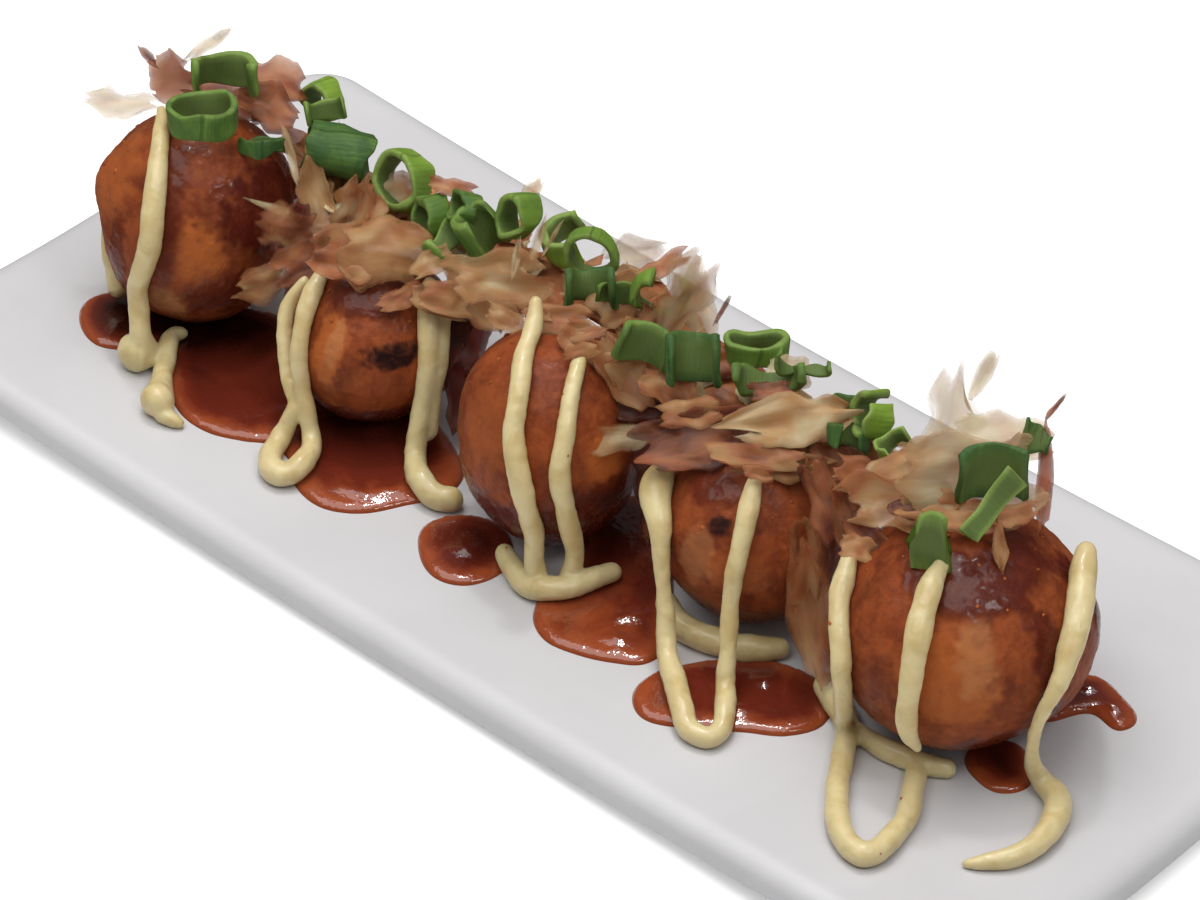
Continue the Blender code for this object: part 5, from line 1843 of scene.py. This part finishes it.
@dataclass
class FlakeBed:
    """The matted bed: small shaved flakes strewn over a smaller core."""

    kinds: int = 8
    voxel: float = 0.9
    smoothing: tuple[float, int] = (0.5, 6)
    core_tone: float = 0.72
    flatness: float = 0.6

    def build(self, material: Material, relief: Relief, scatter: Scatter) -> None:
        """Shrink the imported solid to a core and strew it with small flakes.

        Args:
            material: The fish.
            relief: The tree for the core's surface.
            scatter: The tree that strews the flakes.
        """
        core = self.core()
        even_out(core, self.voxel, *self.smoothing)
        relief.apply(core, Lump_Height=0.004, Lump_Pitch=130.0, Wrinkle_Height=0.002, Wrinkle_Pitch=380.0,
                     Swell=-0.0012, Seed=0.4, Material=material)
        store(core.data, tone=self.core_tone, sheer=0.0)
        layer = core.data.uv_layers.new(name="grain")
        for loop, uv in zip(core.data.loops, layer.uv):
            place = core.data.vertices[loop.vertex_index].co / MM
            uv.vector = (place.x, place.y + place.z)
        small = [self.tiny(index, material) for index in range(self.kinds)]
        strewn = scatter.strew(
            "bed_flakes", core.data, small, Spacing=0.0032, Density=60000.0, Least_Upward=-0.35,
            Least_Size=0.7, Most_Size=1.25, Tilt=0.55, Lift=0.0006, Seed=11, Material=material)
        finish_piece(joined("flake_bed_matted", [core, strewn]), ["flake_bed"])

    @staticmethod
    def core() -> Object:
        """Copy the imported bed.

        Returns:
            The copy, with its loose triangles joined into one skin.
        """
        bm = bmesh.new()
        bm.from_mesh(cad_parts["flake_bed"].data)
        bmesh.ops.remove_doubles(bm, verts=bm.verts, dist=1e-6)
        for layer in list(bm.loops.layers.uv):
            bm.loops.layers.uv.remove(layer)
        return add_piece("bed_core", mesh_of("bed_core", bm))

    def tiny(self, index: int, material: Material) -> Object:
        """Make a small flake of few faces.

        Args:
            index: Its number among the kinds, from which its sizes follow.
            material: The fish.

        Returns:
            The flake, at the origin.
        """
        length, width = 7 + 5 * (index * 0.37 % 1), 3 + 3 * (index * 0.61 % 1)
        tone, sheer = 0.15 + 0.65 * (index * 0.29 % 1), 0.45 * (index * 0.43 % 1)
        flake = Flake(f"small_{index}", index * 3.1, 7 - index, 2, 0, 0, 0, length, width,
                      50 - 25 * (index % 3), 80 * (index % 4) - 90, 20, 0.5, tone, sheer)
        bm = bmesh.new()
        bmesh.ops.create_grid(bm, x_segments=6, y_segments=2, size=1)
        map_grain(bm, {vert: (vert.co.x * length / 2, vert.co.y * width / 2) for vert in bm.verts})
        for vert in bm.verts:
            point = flake.at(vert.co.x, vert.co.y)
            vert.co = Vector((point.x, point.y, point.z * self.flatness)) * MM
        piece = add_piece(flake.name, mesh_of(flake.name, bm), material)
        store(piece.data, tone=tone, sheer=sheer)
        return thickened(piece, flake.thickness)


@dataclass
class Crumbs:
    """Dark crumbs of sauce and batter, strewn thinly over the tops of the balls and the mayonnaise.

    Where they lie is given by their spacing in metres, and how much the surface has to look upwards.
    """

    kinds: int = 5
    size: float = 0.45
    unevenness: float = 0.5
    flatness: float = 0.6
    on_balls: tuple[float, float] = (0.0045, 0.62)
    on_ribbons: tuple[float, float] = (0.0120, 0.25)

    def build(self, material: Material, scatter: Scatter) -> None:
        """Strew the crumbs over each surface and join them as one piece.

        Args:
            material: The fried crust.
            scatter: The tree that strews them.
        """
        spots = [(f"ball_{ball.number}_fried", *self.on_balls) for ball in BALLS]
        spots += [(f"{name}_soft", *self.on_ribbons) for name in ("mayo_2_right", "mayo_3", "mayo_5_loop")]
        strewn = []
        for index, (name, spacing, upward) in enumerate(spots):
            things = [self.crumb(kind, material) for kind in range(self.kinds)]
            strewn.append(scatter.strew(
                f"crumbs_{index}", bpy.data.objects[name].data, things, Spacing=spacing, Density=40000.0,
                Least_Upward=upward, Least_Size=0.5, Most_Size=1.5, Tilt=0.8, Seed=20 + index,
                Material=material))
        finish_piece(joined("crumbs_strewn", strewn))

    def crumb(self, kind: int, material: Material) -> Object:
        """Make one uneven crumb of few faces.

        Args:
            kind: Its number among the kinds. The first are the darkest with sauce.
            material: The fried crust.

        Returns:
            The crumb, at the origin.
        """
        bm = bmesh.new()
        bmesh.ops.create_icosphere(bm, subdivisions=1, radius=self.size * MM)
        for vert in bm.verts:
            vert.co *= 1 + self.unevenness * noise.noise(vert.co * 1500 + Vector((kind, 0, 0)))
            vert.co.z *= self.flatness
        mesh = mesh_of(f"crumb_{kind}", bm)
        store(mesh, sauce=0.5 - 0.5 * kind / (self.kinds - 1), amber=1, pale=0, char=0)
        return add_piece(mesh.name, mesh, material)


# --- The studio ---


@dataclass(frozen=True)
class Studio:
    """The pale floor, the soft light from above and the camera."""

    camera_place: Place = (0.6080, -0.6731, 0.7858)
    camera_target: Place = (-0.0109, 0.00794, 0.0086)
    lens: float = 178.5
    sensor: float = 36
    horizon: float = 0.10
    zenith: float = 0.62
    mirrored: float = 0.28
    floor_half: float = 6
    floor_white: float = 0.92
    floor_glow: float = 0.22

    lamps: tuple[tuple[str, float, Place, tuple[float, float]], ...] = (
        ("key", 11.2, (-0.22, -0.10, 1.25), (1.3, 1.1)),
        ("glint", 2.2, (0.75, -0.10, 1.15), (0.25, 0.25)),
        ("spark", 2.3, (-0.27, 0.30, 1.13), (0.10, 0.10)),
    )

    def build(self) -> None:
        """Make the floor, the room, the lights and the camera."""
        self.make_floor()
        self.make_room()
        for lamp in self.lamps:
            self.add_lamp(*lamp)
        camera = bpy.data.objects.new("camera", bpy.data.cameras.new("camera"))
        bpy.context.scene.collection.objects.link(camera)
        camera.data.lens, camera.data.sensor_width, camera.data.clip_end = self.lens, self.sensor, 10
        camera.location = self.camera_place
        aim = Vector(self.camera_target) - Vector(self.camera_place)
        camera.rotation_euler = aim.to_track_quat("-Z", "Y").to_euler()
        bpy.context.scene.camera = camera
        bpy.context.scene.view_settings.view_transform = "Standard"

    def make_floor(self) -> None:
        """Lay a pale floor under the plate."""
        bm = bmesh.new()
        bmesh.ops.create_grid(bm, x_segments=1, y_segments=1, size=self.floor_half)
        material, _ = Finish.begin(
            "floor", Base_Color=(*[self.floor_white] * 3, 1), Roughness=0.9, Emission_Color=(1, 1, 1, 1),
            Emission_Strength=self.floor_glow)
        floor = add_piece("floor", mesh_of("floor", bm), material)
        floor.visible_glossy = False

    def make_room(self) -> None:
        """Fill the room with light that is dim at the walls, and dimmer in what the food mirrors."""
        world = bpy.data.worlds.new("room")
        world.use_nodes = True
        bpy.context.scene.world = world
        graph = Graph(world.node_tree)
        direction = graph.add("ShaderNodeTexCoord").outputs["Generated"]
        upward = graph.add("ShaderNodeSeparateXYZ", {0: direction}).outputs["Z"]
        strength = graph.line(graph.between(upward, 0.0, 1.0), self.zenith - self.horizon, self.horizon)
        rays = graph.add("ShaderNodeLightPath").outputs
        seen = graph.line(rays["Is Glossy Ray"], self.mirrored - 1, 1.0)
        strength = graph.math("MAXIMUM", graph.math("MULTIPLY", strength, seen), rays["Is Camera Ray"])
        background = world.node_tree.nodes["Background"].inputs
        background["Color"].default_value = (1, 1, 1, 1)
        graph.link(strength, background["Strength"])

    @staticmethod
    def add_lamp(name: str, watts: float, place: Place, size: tuple[float, float]) -> None:
        """Hang a rectangular light that faces the plate.

        Args:
            name: The light's name.
            watts: Its power.
            place: Where it hangs, in metres.
            size: Its two sides in metres.
        """
        light = bpy.data.lights.new(name, "AREA")
        light.shape = "RECTANGLE"
        light.size, light.size_y = size
        light.energy = watts
        lamp = bpy.data.objects.new(name, light)
        bpy.context.scene.collection.objects.link(lamp)
        lamp.location = place
        lamp.rotation_euler = (-Vector(place)).to_track_quat("-Z", "Y").to_euler()


# --- Everything ---


def lay_toppings(rows: Iterable[Topping], loose: Iterable[Topping], name: str, material: Material) -> None:
    """Lay the toppings of one kind.

    Args:
        rows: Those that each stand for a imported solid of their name.
        loose: Those that are one piece together.
        name: That piece's name.
        material: Their finish.
    """
    for row in rows:
        finish_piece(row.lay(material, row.name), [row.name])
    finish_piece(joined(name, [row.lay(material, None) for row in loose]))


def dress() -> None:
    """Build every part of the serving in order, and hand each to the frame."""
    relief, sweep, scatter, plate = Relief(), Sweep(), Scatter(), Plate()
    plate.build(GlazedWhite().material())
    crust, sauce, mayonnaise = FriedCrust().material(), BrownSauce().material(), Mayonnaise().material()
    for ball in BALLS:
        ball.build(crust, relief)
    for pool in POOLS:
        pool.build(sauce, plate)
    for ribbon in RIBBONS:
        ribbon.build(mayonnaise, sweep, relief, plate)
    Crumbs().build(crust, scatter)
    fish = FishFlake().material()
    lay_toppings(FLAKES, LOOSE_FLAKES, "flakes_loose", fish)
    FlakeBed().build(fish, relief, scatter)
    lay_toppings(ONIONS, LOOSE_SLICES, "slices_loose", SpringOnion().material())


def main() -> None:
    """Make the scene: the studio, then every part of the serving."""
    logging.basicConfig(level=logging.INFO, format="%(name)s: %(message)s")
    Studio().build()
    dress()
    bpy.context.view_layer.update()


if __name__ == "__main__":
    main()
